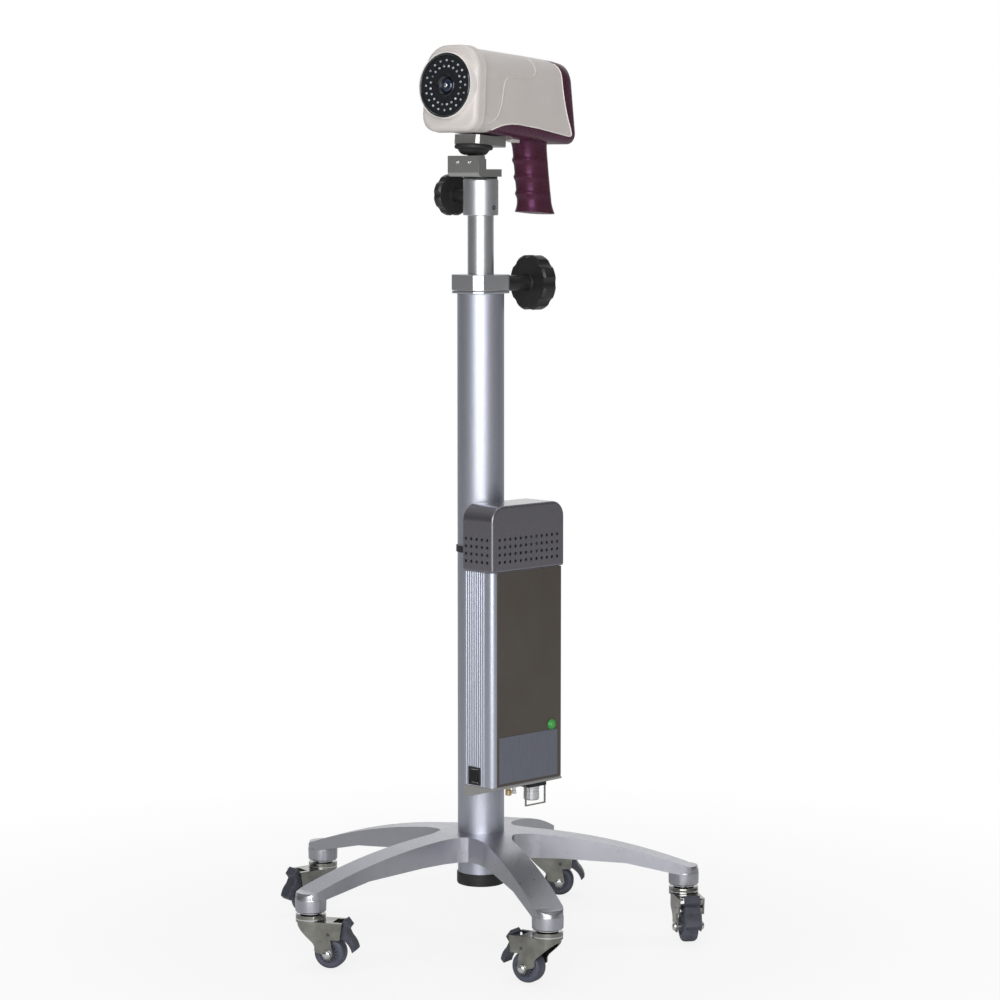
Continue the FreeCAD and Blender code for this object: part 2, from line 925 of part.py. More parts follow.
def tilt_block():
    block = Piece("tilt_clevis", PAN, kept=False)
    plate_back = s.bracket_front - s.bracket_plate
    foot_top = seat + s.bracket_foot
    plan = block.sketch("XY", foot_top)
    rectangle(plan, s.pivot_forward - s.block_back, -s.block_half, plate_back, s.block_half)
    block.pad(plan, s.pivot_height + s.block_rise - foot_top)
    slot = block.sketch("XY", foot_top + 2)
    rectangle(slot, s.pivot_forward - s.block_back - 1, -s.slot_half - 0.3, plate_back + 1, s.slot_half + 0.3)
    block.pocket(slot, s.pivot_height + s.block_rise - foot_top, back=True)
    bore = block.sketch("XZ")
    circle(bore, s.pivot_forward, s.pivot_height, s.pivot_pin_radius + s.press_gap)
    block.pocket(bore, 2 * s.block_half + 2, both=True)
    for hand in (-1, 1):
        tapped = block.sketch("YZ", s.pivot_forward + s.block_rise - 0.2)
        circle(tapped, hand * s.bracket_screw_pitch / 2, s.bracket_screw_z, s.bracket_screw_radius + s.press_gap)
        block.pocket(tapped, plate_back - s.pivot_forward, back=True)
    pin = turned(
        "tilt_pin",
        [
            (0, -s.block_half),
            (s.pivot_pin_radius, -s.block_half),
            (s.pivot_pin_radius, s.block_half),
            (0, s.block_half),
        ],
        frame(x=s.pivot_forward, z=s.pivot_height, roll=90, base=PAN),
        kept=False,
    )
    group("tilt_block", [block, pin])


# Everything that tilts hangs on this frame: origin on the pivot, X along the lens axis


HEAD = frame(x=s.pivot_forward, z=s.pivot_height, pitch=-s.head_pitch, base=PAN)


def tilt_parts():
    pedestal = Piece("tilt_pedestal", HEAD)
    pedestal.revolve(
        [
            (0, s.bowl_low),
            (s.bowl_low_radius, s.bowl_low),
            (s.bowl_top_radius, s.bowl_top),
            (0, s.bowl_top),
        ]
    )
    tongue = pedestal.sketch("XZ")
    reach = s.tongue_radius
    outline(
        tongue,
        [
            (-reach, 0),
            (reach, 0, reach),
            (reach, s.bowl_low + 1),
            (-reach, s.bowl_low + 1),
        ],
    )
    pedestal.pad(tongue, 2 * s.slot_half, both=True)
    eye = pedestal.sketch("XZ")
    circle(eye, 0, 0, s.pivot_pin_radius + s.running_gap)
    pedestal.pocket(eye, 2 * s.slot_half + 2, both=True)
    rim_low = s.plate_low - s.disc_rim
    turned(
        "tilt_disc",
        [
            (0, rim_low),
            (s.bowl_top_radius, rim_low),
            (s.disc_radius, rim_low + 1.5),
            (s.disc_radius, s.plate_low - 1),
            (s.disc_radius - 1, s.plate_low),
            (0, s.plate_low),
        ],
        HEAD,
    )
    plate = Piece("quick_plate", HEAD)
    plan = plate.sketch("XY", s.plate_low)
    cut = s.plate_chamfer
    front, back, half = s.plate_front, s.plate_back, s.plate_half
    outline(
        plan,
        [
            (front, cut - half),
            (front, half - cut),
            (front - cut, half),
            (cut - back, half),
            (-back, half - cut),
            (-back, cut - half),
            (cut - back, -half),
            (front - cut, -half),
        ],
    )
    plate.pad(plan, s.plate_thick)


# Camera head: two moulded shells that meet at a curved seam


def shell_section(piece, at, half, low, high, low_round, high_round, lean=0):
    """A rounded outline across the head; it leans about the lens axis, with its foot further back."""
    section = piece.sketch("YZ", at)
    if lean:
        axis = s.lens_height
        offset = frame(y=axis - axis * cosine(lean), z=at - axis * sine(lean), roll=lean)
        section.setExpression("AttachmentOffset", offset)
    rounded(section, -half, low, half, high, low_round, high_round)
    return section


def head_skin(piece):
    """The head's solid outer form: a hood with a lip, then a body that narrows to a rounded back."""
    lip = s.hood_lip
    sections = []
    for at, step in ((s.hood_front, lip * 0.7), (s.hood_front - lip * 0.7, as_size(0)), (s.hood_back, as_size(0))):
        sections.append(
            shell_section(
                piece,
                at,
                s.hood_half - step,
                s.hood_low + step,
                s.hood_top - step,
                s.hood_low_round,
                s.hood_top_round,
            )
        )
    piece.loft(sections, ruled=True)
    step = s.hood_step
    waist = (s.back_half, s.back_low, s.back_top, s.back_low_round, s.back_top_round)
    hood = (s.hood_half - step, s.hood_low + step, s.hood_top - step, s.hood_low_round, s.hood_top_round)
    middle = tuple(mix(start, end, 0.5) for start, end in zip(hood, waist))
    deep = s.back_round
    lean = s.back_lean
    stations = (
        (s.hood_back, hood, (0, 0, 0), 0),
        (mix(s.hood_back, -s.back_at, 0.5), middle, (0, 0, 0), 0),
        (-s.back_at, waist, (0, 0, 0), 0),
        (deep - s.back_end, waist, (deep * 0.04, deep * 0.06, deep * 0.24), lean * 0.64),
        (deep * 0.3 - s.back_end, waist, (deep * 0.18, deep * 0.48, deep * 0.72), lean),
        (-s.back_end, waist, (deep * 0.55, deep * 1.1, deep * 1.2), lean),
    )
    sections = []
    for at, (half, low, high, low_round, high_round), (narrow, lift, drop), turn in stations:
        sections.append(
            shell_section(piece, at, half - narrow, low + lift, high - drop, low_round, high_round, turn)
        )
    piece.loft(sections, ruled=True)


def head_hollow(piece):
    """The room inside the head, a wall's thickness in from its outer form."""
    wall = s.shell_wall
    step = s.hood_step + wall
    sections = []
    for at, half, low, high, low_round, high_round in (
        (
            s.hood_front - wall,
            s.hood_half - step,
            s.hood_low + step,
            s.hood_top - step,
            s.hood_low_round,
            s.hood_top_round,
        ),
        (
            -s.back_at,
            s.back_half - wall,
            s.back_low + wall,
            s.back_top - wall,
            s.back_low_round,
            s.back_top_round,
        ),
        (
            s.back_round * 0.6 - s.back_end,
            s.back_half - wall - s.back_round * 0.3,
            s.back_low + wall + s.back_round * 0.7,
            s.back_top - wall - s.back_round * 0.85,
            s.back_low_round,
            s.back_top_round,
        ),
    ):
        lean = s.back_lean if at.value < -s.back_at.value else 0
        sections.append(shell_section(piece, at, half, low, high, low_round, high_round, lean))
    piece.loft(sections, cut=True, ruled=True)


def seam_points(front_side):
    """The seam in side view, from its foot at the front to the top, closed round one side of it."""
    low = s.hood_low - 10
    high = s.back_top + 10
    far = s.back_end + 10
    crest = s.hood_low + s.seam_rise
    heel = s.back_low + s.seam_back_rise
    drop = s.seam_top_drop
    seam = [
        (s.seam_front, low),
        (s.seam_front, s.hood_low + 1),
        (-s.seam_crest_at * 0.45, crest - 1.5, s.seam_front_radius),
        (-s.seam_crest_at, crest, s.seam_crest_radius),
        (-s.seam_back_at, heel),
        (-s.seam_top_at, s.back_top - drop, s.seam_back_radius),
        (drop * 0.75 - s.seam_top_at, high),
    ]
    if front_side:
        return seam + [(s.hood_front + 20, high), (s.hood_front + 20, low)]
    return seam + [(-far, high), (-far, low)]


def front_housing():
    shell = Piece("front_housing", HEAD)
    head_skin(shell)
    head_hollow(shell)
    away = shell.sketch("XZ")
    outline(away, seam_points(front_side=False))
    shell.pocket(away, 2 * s.hood_half + 10, both=True)
    ring = shell.sketch("YZ", s.hood_front - 1)
    circle(ring, 0, s.lens_height, s.rim_radius)
    shell.pad(ring, s.rim_front - s.hood_front + 1)
    bore = shell.sketch("YZ", s.rim_front + 1)
    circle(bore, 0, s.lens_height, s.bezel_radius + s.press_gap)
    shell.pocket(bore, s.rim_front - s.bezel_back + 1)


def rear_housing():
    shell = Piece("rear_housing", HEAD)
    head_skin(shell)
    head_hollow(shell)
    away = shell.sketch("XZ")
    outline(away, seam_points(front_side=True))
    shell.pocket(away, 2 * s.hood_half + 10, both=True)
    stations = [
        (-0.06, 0.0, 0.0),
        (0.10, 0.0, 0.0),
        (0.27, 1.0, 0.0),
        (0.37, -0.1, 0.0),
        (0.50, 1.0, 0.0),
        (0.60, -0.1, 0.0),
        (0.74, 1.0, 0.0),
        (0.86, 0.0, 0.3),
        (1.0, 0.4, 1.0),
    ]
    sections = []
    top = s.back_low + 1
    lean = sine(s.grip_rake) / cosine(s.grip_rake)
    for share, ridge, flare in stations:
        depth = s.grip_length * share
        middle = -s.grip_top_at - depth * lean
        front = middle + s.grip_depth / 2 + (ridge - 1) * s.grip_groove + flare * s.grip_flare
        back = middle - s.grip_depth / 2 - flare * s.grip_flare / 2
        half = s.grip_width / 2 + flare * s.grip_flare
        section = shell.sketch("XY", top - depth)
        rounded(section, back, -half, front, half, s.grip_width / 2 - 2)
        sections.append(section)
    shell.loft(sections, ruled=True)
    boss = shell.sketch("XY", s.plate_low + s.plate_thick + s.press_gap)
    rectangle(boss, 2 - s.plate_back, 3 - s.plate_half, -s.seat_front, s.plate_half - 3)
    shell.pad(boss, 4)
    pocket = shell.sketch("XZ")
    front = -s.grip_top_at + s.grip_depth / 2
    clear = s.loose_gap
    outline(
        pocket,
        [
            (front - s.trigger_reach / 2 - clear, s.back_low - s.trigger_height - 2 - clear),
            (front + 20, s.back_low - s.trigger_height - 2 - clear),
            (front + 20, s.back_low - 2 + clear),
            (front - s.trigger_reach / 2 - clear, s.back_low - 2 + clear),
        ],
    )
    shell.pocket(pocket, 2 * (s.trigger_half + clear), both=True)


def trigger():
    button = Piece("trigger", HEAD)
    front = -s.grip_top_at + s.grip_depth / 2
    back = front - s.trigger_reach / 2 + s.trigger_travel
    side = button.sketch("XZ")
    low = s.back_low - s.trigger_height - 2
    high = s.back_low - 2
    nose = s.trigger_height / 2
    outline(
        side,
        [
            (back, low),
            (back + s.trigger_reach - nose, low),
            (back + s.trigger_reach - nose, high, nose),
            (back, high),
        ],
    )
    button.pad(side, 2 * s.trigger_half, both=True)


def optics():
    axis = frame(z=s.lens_height, pitch=90, base=HEAD)
    turned(
        "lens_bezel",
        [
            (s.bezel_radius - s.bezel_wall, s.bezel_back),
            (s.bezel_radius, s.bezel_back),
            (s.bezel_radius, s.bezel_front - 1.2),
            (s.bezel_radius - 1.2, s.bezel_front),
            (s.bezel_radius - s.bezel_wall, s.bezel_front),
        ],
        axis,
    )
    board = turned(
        "lamp_plate",
        [
            (s.barrel_radius + s.press_gap, s.board_front - s.board_thick),
            (s.bezel_radius - s.bezel_wall - s.press_gap, s.board_front - s.board_thick),
            (s.bezel_radius - s.bezel_wall - s.press_gap, s.board_front),
            (s.barrel_radius + s.press_gap, s.board_front),
        ],
        axis,
        kept=False,
    )
    members = [board.body]
    for name, ring, turn in (("outer_lamp", s.outer_lamp_circle, 0.0), ("inner_lamp", s.inner_lamp_circle, 0.5)):
        for number in range(round(s.lamp_count.value)):
            angle = (number + turn) * 360 / s.lamp_count
            place = frame(x=ring * cosine(angle), y=ring * sine(angle), z=s.board_front, base=axis)
            members.append(prism(f"{name}_{number + 1}", place, s.lamp_radius, s.lamp_rise))
    fused("led_board", members)
    inner = s.barrel_radius - s.barrel_wall
    barrel = turned(
        "barrel_tube",
        [
            (inner, s.barrel_back),
            (s.barrel_radius, s.barrel_back),
            (s.barrel_radius, s.barrel_front),
            (inner, s.barrel_front),
        ],
        axis,
        kept=False,
    )
    glass_back = s.barrel_front - s.glass_thick - 2
    glass = turned(
        "lens_glass",
        [
            (0, glass_back),
            (inner - s.press_gap, glass_back),
            (inner - s.press_gap, glass_back + s.glass_thick),
            (0, glass_back + s.glass_thick),
        ],
        axis,
        kept=False,
    )
    group("lens_barrel", [barrel, glass])
    camera = Piece("camera_module", HEAD)
    plan = camera.sketch("YZ", s.barrel_back)
    half = s.camera_half
    rounded(plan, -half, s.lens_height - half, half, s.lens_height + half, 3)
    camera.pad(plan, s.camera_length, back=True)
    post = camera.sketch("XY", s.hood_low + s.hood_step + s.shell_wall + 2)
    rectangle(post, s.barrel_back - s.camera_length, -8, s.barrel_back - 10, 8)
    camera.pad(post, s.lens_height - half - s.hood_low - s.shell_wall - s.hood_step - 1)


# Control box behind the lens side of the stand


CASE = frame(yaw=s.case_yaw)
case_back = -(s.column_radius + s.case_gap)
case_front = case_back - s.case_depth
case_side = s.case_width / 2


def case_parts():
    case = Piece("case_body", CASE)
    plan = case.sketch("XY", s.case_foot)
    height = s.case_top - s.case_foot
    rounded(plan, -case_side, case_front, case_side, case_back, s.case_corner, s.case_corner / 2)
    case.pad(plan, height)
    inner = case.sketch("XY", s.case_foot)
    wall = s.case_wall
    rounded(
        inner,
        wall - case_side,
        case_front + wall,
        case_side - wall,
        case_back - wall,
        s.case_corner - wall,
        s.case_corner / 2 - wall / 2,
    )
    case.pocket(inner, height, back=True)
    recess = case.sketch("XY", s.case_foot)
    rectangle(recess, -s.panel_width / 2, case_front - 1, s.panel_width / 2, case_front + s.panel_thick)
    case.pocket(recess, height, back=True)
    centre = (case_front + case_back) / 2
    first = centre - s.rib_pitch * (s.rib_count - 1) / 2
    cuts = []
    for hand in (-1, 1):
        groove = case.sketch("XY", s.case_foot)
        outer = hand * case_side
        rectangle(
            groove,
            outer - s.rib_depth,
            first - s.rib_cut / 2,
            outer + s.rib_depth,
            first + s.rib_cut / 2,
        )
        cuts.append(case.pocket(groove, height, back=True))
    case.row(cuts, "Y", s.rib_pitch, s.rib_count)
    window = case.sketch("YZ", -case_side - 1)
    rectangle(
        window,
        -s.switch_at - s.switch_width / 2 + s.bezel_lip,
        s.switch_z - s.switch_height / 2 + s.bezel_lip,
        -s.switch_at + s.switch_width / 2 - s.bezel_lip,
        s.switch_z + s.switch_height / 2 - s.bezel_lip,
    )
    case.pocket(window, wall + 2, back=True)
    panel = Piece("front_panel", CASE)
    plate = panel.sketch("XY", s.case_foot)
    gap = s.press_gap
    rectangle(
        plate,
        gap - s.panel_width / 2,
        case_front,
        s.panel_width / 2 - gap,
        case_front + s.panel_thick - gap,
    )
    panel.pad(plate, height)


def bottom_cap():
    cap = Piece("bottom_cap", CASE)
    side = cap.sketch("YZ")
    outline(
        side,
        [
            (case_back, s.case_foot),
            (case_front, s.case_foot),
            (case_front, s.base_front_low),
            (-s.base_knee_at, s.base_knee_low),
            (case_back, s.base_back_low),
        ],
    )
    cap.pad(side, s.case_width, both=True)
    plug = cap.sketch("XY", s.case_foot)
    wall = s.case_wall + s.press_gap
    cut = s.case_corner - wall
    outline(
        plug,
        [
            (wall - case_side + cut, case_front + wall),
            (case_side - wall - cut, case_front + wall),
            (case_side - wall, case_front + wall + cut),
            (case_side - wall, case_back - wall - cut),
            (case_side - wall - cut, case_back - wall),
            (wall - case_side + cut, case_back - wall),
            (wall - case_side, case_back - wall - cut),
            (wall - case_side, case_front + wall + cut),
        ],
    )
    cap.pad(plug, s.base_plug)
    hollow = cap.sketch("YZ")
    thick = s.base_wall
    fall = (s.base_front_low - s.base_knee_low) / (s.base_knee_at + case_front)
    back = case_back - wall - thick
    front = case_front + wall + thick
    outline(
        hollow,
        [
            (back, s.base_knee_low + thick + fall * (back + s.base_knee_at)),
            (front, s.base_knee_low + thick + fall * (front + s.base_knee_at)),
            (front, s.case_foot + s.base_plug + 1),
            (back, s.case_foot + s.base_plug + 1),
        ],
    )
    cap.pocket(hollow, s.case_width - 2 * (wall + thick), both=True)
    well = cap.sketch("XY", s.base_back_low - 5)
    rectangle(
        well,
        s.inlet_at - s.inlet_half - s.press_gap,
        -s.inlet_row - s.inlet_side - s.press_gap,
        s.inlet_at + s.inlet_half + s.press_gap,
        -s.inlet_row + s.inlet_side + s.press_gap,
    )
    for x, radius in ((s.post_at, s.post_radius), (s.terminal_at, s.terminal_radius)):
        circle(well, x, -s.post_row, radius + s.press_gap)
    cap.pocket(well, 25, back=True)


def vent_cap():
    cap = Piece("vent_shell", CASE, kept=False)
    stand = s.vent_stand
    front = cap.sketch("XZ", -case_back)
    half = case_side + stand
    top = s.case_top + s.vent_height
    corner = s.vent_round
    outline(
        front,
        [
            (half, s.case_top),
            (half, top - corner),
            (half - corner, top, corner),
            (corner - half, top),
            (-half, top - corner, corner),
            (-half, s.case_top),
        ],
    )
    cap.pad(front, s.case_depth + stand)
    wall = s.vent_wall
    inner = cap.sketch("XZ", -case_back + wall)
    outline(
        inner,
        [
            (half - wall, s.case_top - 1),
            (half - wall, top - corner),
            (half - corner, top - wall, corner - wall),
            (corner - half, top - wall),
            (wall - half, top - corner, corner - wall),
            (wall - half, s.case_top - 1),
        ],
    )
    cap.pocket(inner, s.case_depth + stand - 2 * wall, back=True)
    face = case_front - stand

    tools = []
    for row_number in range(round(s.vent_rows.value)):
        z = s.vent_first + row_number * s.vent_pitch
        for number in range(round(s.vent_columns.value)):
            x = (number - (s.vent_columns - 1) / 2) * s.vent_pitch
            place = frame(x=x, y=face - 1, z=z, roll=-90, base=CASE)
            tools.append(prism(f"front_vent_{row_number + 1}_{number + 1}", place, s.vent_hole, wall + 2))
        for number in range(round(s.vent_side_columns.value)):
            y = (case_front + case_back) / 2 + (number - (s.vent_side_columns - 1) / 2) * s.vent_pitch
            place = frame(x=-half - 1, y=y, z=z, pitch=90, base=CASE)
            tools.append(prism(f"side_vent_{row_number + 1}_{number + 1}", place, s.vent_hole, wall + 2))
    cutters = doc.addObject("Part::Compound", "vent_tools")
    cutters.Links = tools
    vented = doc.addObject("Part::Cut", "vent_cap")
    vented.Label = "vent_cap"
    vented.Base = cap.body
    vented.Tool = cutters
    pieces.append(vented)


def fixings():
    turned(
        "case_strap",
        [
            (s.column_radius + s.press_gap, s.strap_z - s.strap_half),
            (s.column_radius + s.case_gap - s.press_gap, s.strap_z - s.strap_half),
            (s.column_radius + s.case_gap - s.press_gap, s.strap_z + s.strap_half),
            (s.column_radius + s.press_gap, s.strap_z + s.strap_half),
        ],
    )
    rail = Piece("case_rail", CASE)
    plan = rail.sketch("XY", s.rail_low)
    rectangle(plan, -s.rail_half, case_back, s.rail_half, -s.column_radius * 0.8)
    rail.pad(plan, s.rail_high - s.rail_low)
    bed = rail.sketch("XY", s.rail_low - 1)
    circle(bed, 0, 0, s.column_radius + s.press_gap)
    rail.pocket(bed, s.rail_high - s.rail_low + 2, back=True)


def electronics():
    board = Piece("circuit_board", CASE, kept=False)
    face = board.sketch("XZ", -case_back + s.board_at)
    inner = case_side - s.case_wall - s.press_gap
    base = s.case_foot + s.base_plug + 1
    rectangle(face, -inner, base, inner, base + s.pcb_height)
    board.pad(face, s.pcb_thick)
    members = [board]
    blocks = [
        ("transformer", -30.0, 30.0, 62.0, 52.0, 14.0),
        ("connector_block", 40.0, 8.0, 16.0, 46.0, 10.0),
        ("driver_module", -6.0, 100.0, 50.0, 60.0, 8.0),
        ("filter_block", -48.0, 110.0, 32.0, 30.0, 12.0),
    ]
    for name, left, rise, width, height, deep in blocks:
        block = Piece(name, CASE, kept=False)
        plan = block.sketch("XZ", -case_back + s.board_at + s.pcb_thick)
        rectangle(plan, left, base + rise, left + width, base + rise + height)
        block.pad(plan, deep)
        members.append(block)
    group("power_board", members)


def switch():
    y = -s.switch_at
    bezel = Piece("switch_bezel", CASE)
    wide = s.switch_width / 2
    tall = s.switch_height / 2
    lip = s.bezel_lip
    face = bezel.sketch("YZ", -case_side)
    rectangle(face, y - wide, s.switch_z - tall, y + wide, s.switch_z + tall)
    bezel.pad(face, lip, back=True)
    throat = bezel.sketch("YZ", -case_side)
    gap = s.press_gap
    rectangle(throat, y - wide + lip + gap, s.switch_z - tall + lip + gap, y + wide - lip - gap, s.switch_z + tall - lip - gap)
    bezel.pad(throat, s.switch_depth)
    hollow = bezel.sketch("YZ", -case_side - lip)
    wall = 1.6
    rectangle(hollow, y - wide + lip + wall, s.switch_z - tall + lip + wall, y + wide - lip - wall, s.switch_z + tall - lip - wall)
    bezel.pocket(hollow, s.switch_depth - 2 + lip, back=True)
    pivot = bezel.sketch("XZ", s.switch_at)
    circle(pivot, -case_side + 5, s.switch_z, 1.5)
    bezel.pad(pivot, 2 * (wide - lip - 1), both=True)
    rocker = Piece("switch_rocker", CASE)
    side = rocker.sketch("XZ", s.switch_at)
    span = tall - lip - wall - s.rocker_gap
    outline(
        side,
        [
            (-case_side - lip - 2.6, s.switch_z - span + 1.2),
            (-case_side + 3.5, s.switch_z - span + 0.6),
            (-case_side + 8, s.switch_z),
            (-case_side + 3.5, s.switch_z + span - 0.6),
            (-case_side - lip + 0.4, s.switch_z + span - 0.4),
        ],
    )
    rocker.pad(side, 2 * (wide - lip - wall - s.rocker_gap), both=True)
    hole = rocker.sketch("XZ", s.switch_at)
    circle(hole, -case_side + 5, s.switch_z, 1.5 + s.running_gap)
    rocker.pocket(hole, 2 * wide, both=True)


def sockets():
    inlet = Piece("mains_inlet", CASE)
    x, y = s.inlet_at, -s.inlet_row
    plan = inlet.sketch("XY", s.inlet_low)
    rectangle(plan, x - s.inlet_half, y - s.inlet_side, x + s.inlet_half, y + s.inlet_side)
    inlet.pad(plan, s.case_foot - s.inlet_low)
    bail_z = s.inlet_low + s.bail_drop
    for hand in (-1, 1):
        seat_hole = inlet.sketch("YZ", x + hand * (s.inlet_half + 1))
        circle(seat_hole, -s.bail_row, bail_z, s.bail_pin_radius + s.running_gap)
        inlet.pocket(seat_hole, s.bail_pin + 1, back=hand < 0)
    radius = s.socket_radius
    foot = s.inlet_low
    turned(
        "camera_socket",
        [
            (0, foot - s.socket_drop + 9),
            (radius - 2.4, foot - s.socket_drop + 9),
            (radius - 2.4, foot - s.socket_drop),
            (radius - 1, foot - s.socket_drop),
            (radius, foot - s.socket_drop + 1),
            (radius, foot - 3),
            (radius + 1.6, foot - 3),
            (radius + 1.6, foot),
            (0, foot),
        ],
        frame(x=x, y=y, base=CASE),
    )
    bail = Piece("cord_bail", frame(x=x, y=-s.bail_row, z=bail_z, base=CASE))
    wire = s.bail_wire
    half = s.bail_half
    reach = s.bail_reach
    front = bail.sketch("XZ")
    outline(
        front,
        [
            (-half - wire, -reach - wire),
            (half + wire, -reach - wire),
            (half + wire, wire),
            (half - wire, wire),
            (half - wire, -reach + wire),
            (wire - half, -reach + wire),
            (wire - half, wire),
            (-half - wire, wire),
        ],
    )
    bail.pad(front, 2 * wire, both=True)
    for hand in (-1, 1):
        pin = bail.sketch("YZ", hand * (s.inlet_half - s.bail_pin + 0.6))
        circle(pin, 0, 0, s.bail_pin_radius)
        bail.pad(pin, s.bail_pin + 1, back=hand < 0)
    post = turned(
        "post_rod",
        [
            (0, s.post_low),
            (s.post_radius, s.post_low),
            (s.post_radius, s.case_foot),
            (0, s.case_foot),
        ],
        frame(x=s.post_at, y=-s.post_row, base=CASE),
        kept=False,
    )
    terminal = turned(
        "terminal_rod",
        [
            (0, s.post_low + 1),
            (s.terminal_radius, s.post_low + 1),
            (s.terminal_radius, s.case_foot),
            (0, s.case_foot),
        ],
        frame(x=s.terminal_at, y=-s.post_row, base=CASE),
        kept=False,
    )
    group("ground_post", [post, terminal])


# Castors: each has its own frame, with X pointing the way it trails


def castor_stems():
    members = []
    for number in range(round(s.leg_count.value)):
        angle = number * 360 / s.leg_count
        place = frame(x=s.leg_reach * cosine(angle), y=s.leg_reach * sine(angle))
        sheet_low = s.fork_top - s.fork_sheet
        stem = Piece(f"castor_stem_{number + 1}", place, kept=False)
        stem.revolve(
            [
                (0, sheet_low - 2),
                (s.stem_radius, sheet_low - 2),
                (s.stem_radius, s.race_low),
                (s.race_radius, s.race_low),
                (s.race_radius, s.foot_low),
                (s.stem_radius, s.foot_low),
                (s.stem_radius, s.stem_top),
                (0, s.stem_top),
            ]
        )
        stem_head = stem.sketch("XY", sheet_low - 3)
        hexagon(stem_head, 0, 0, s.stem_head_radius)
        stem.pad(stem_head, 3 - s.loose_gap)
        members.append(stem)
    group("caster_stems", members)


def castor(number, leg, heading):
    angle = leg * 360 / s.leg_count
    x = s.leg_reach * cosine(angle)
    y = s.leg_reach * sine(angle)
    place = frame(x=x, y=y, yaw=heading)
    fork = Piece(f"caster_fork_{number}", place)
    half = s.fork_half
    lug = s.lug_radius
    thick = s.fork_sheet
    foot = s.wheel_radius - lug
    plan = fork.sketch("XY", foot)
    outline(plan, [(s.fork_tail, -half), (s.fork_tail, half), (0, half), (0, -half, half)])
    fork.pad(plan, s.fork_top - foot)
    below = fork.sketch("XZ")
    outline(
        below,
        [
            (-half - 5, foot - 5),
            (s.fork_tail + 5, foot - 5),
            (s.fork_tail + 5, s.fork_top),
            (s.fork_tail, s.fork_top),
            (s.fork_tail - 3, s.fork_tail_low),
            (s.fork_back_at, s.fork_tail_low),
            (s.trail + lug, s.wheel_radius),
            (s.trail + lug / 2, foot + 0.5),
            (s.trail - lug / 2, foot + 0.5),
            (s.trail - lug, s.wheel_radius),
            (s.fork_slope_at, s.fork_slope_low),
            (-half, s.fork_nose_low),
            (-half - 5, s.fork_nose_low),
        ],
    )
    fork.pocket(below, 2 * half + 4, both=True)
    inside = fork.sketch("XY", foot - 1)
    room = half - thick
    outline(inside, [(s.fork_tail + 5, -room), (s.fork_tail + 5, room), (0, room), (0, -room, room)])
    fork.pocket(inside, s.fork_top - thick - foot + 1, back=True)
    cup = fork.sketch("XY", s.fork_top - thick)
    circle(cup, 0, 0, s.cup_radius)
    fork.pad(cup, s.cup_top - s.fork_top + thick)
    bore = fork.sketch("XY", s.fork_top - thick - 1)
    circle(bore, 0, 0, s.stem_radius + s.running_gap)
    fork.pocket(bore, s.cup_top - s.fork_top + thick + 2, back=True)
    slot = fork.sketch("XY", s.fork_top - thick - 1)
    rectangle(slot, s.fork_slot_at, -s.brake_half - 1, s.fork_tail + 6, s.brake_half + 1)
    fork.pocket(slot, thick + 5, back=True)
    holes = fork.sketch("XZ")
    circle(holes, s.trail, s.wheel_radius, s.axle_radius + s.press_gap)
    circle(holes, s.brake_at, s.brake_height, s.brake_pin_radius + s.running_gap)
    fork.pocket(holes, 2 * half + 4, both=True)
    across = frame(x=s.trail, z=s.wheel_radius, roll=90, base=place)
    end = half + s.axle_head
    axle = Piece(f"caster_axle_{number}", across)
    shank = axle.sketch("XY", -half)
    circle(shank, 0, 0, s.axle_radius)
    axle.pad(shank, 2 * half)
    for low in (-end, half):
        bolt_head = axle.sketch("XY", low)
        hexagon(bolt_head, 0, 0, s.axle_head_radius)
        axle.pad(bolt_head, s.axle_head)
    wheel = Piece(f"caster_wheel_{number}", across)
    edge = s.wheel_edge
    bore_radius = s.axle_radius + s.running_gap
    side = [
        (bore_radius, s.wheel_hub_half),
        (s.wheel_hub_radius, s.wheel_hub_half),
        (s.wheel_hub_radius, s.wheel_half),
        (s.wheel_radius - edge, s.wheel_half),
        (s.wheel_radius, s.wheel_half - edge),
    ]
    other = [(radius, -offset) for radius, offset in reversed(side)]
    wheel.revolve(side + other)
    brake(number, place)


def brake(number, place):
    """The two-ended brake pedal on its own pin: a hook to press on top, a pad to lift off below."""
    pivot = frame(x=s.brake_at, z=s.brake_height, base=place)
    pedal = Piece(f"caster_pedal_{number}", pivot)
    side = pedal.sketch("XZ")
    eye = s.brake_eye_radius
    waist = s.pedal_waist
    outline(
        side,
        [
            (-eye * 0.7, -eye * 0.7),
            (0, -eye),
            (eye * 2, -eye * 0.8),
            (waist - eye, -eye * 1.6),
            (s.pad_reach - eye, -s.pad_low, -s.pad_low * 1.1),
            (s.pad_reach, eye - s.pad_low),
            (waist + eye * 0.8, -eye * 0.7, s.pad_low * 1.2),
            (waist, eye * 0.9),
            (s.hook_reach, s.hook_top * 0.55),
            (s.hook_reach - eye * 1.5, s.hook_top),
            (s.hook_reach - eye * 2.3, s.hook_top - eye * 0.8),
            (waist - eye, eye * 1.9, -eye * 2),
            (waist - eye * 2, eye * 1.1),
            (0, eye),
            (-eye * 0.7, eye * 0.7),
            (-eye, 0),
        ],
    )
    pedal.pad(side, 2 * s.brake_half, both=True)
    trunnions = pedal.sketch("XZ")
    circle(trunnions, 0, 0, s.brake_pin_radius)
    pedal.pad(trunnions, 2 * s.fork_half, both=True)


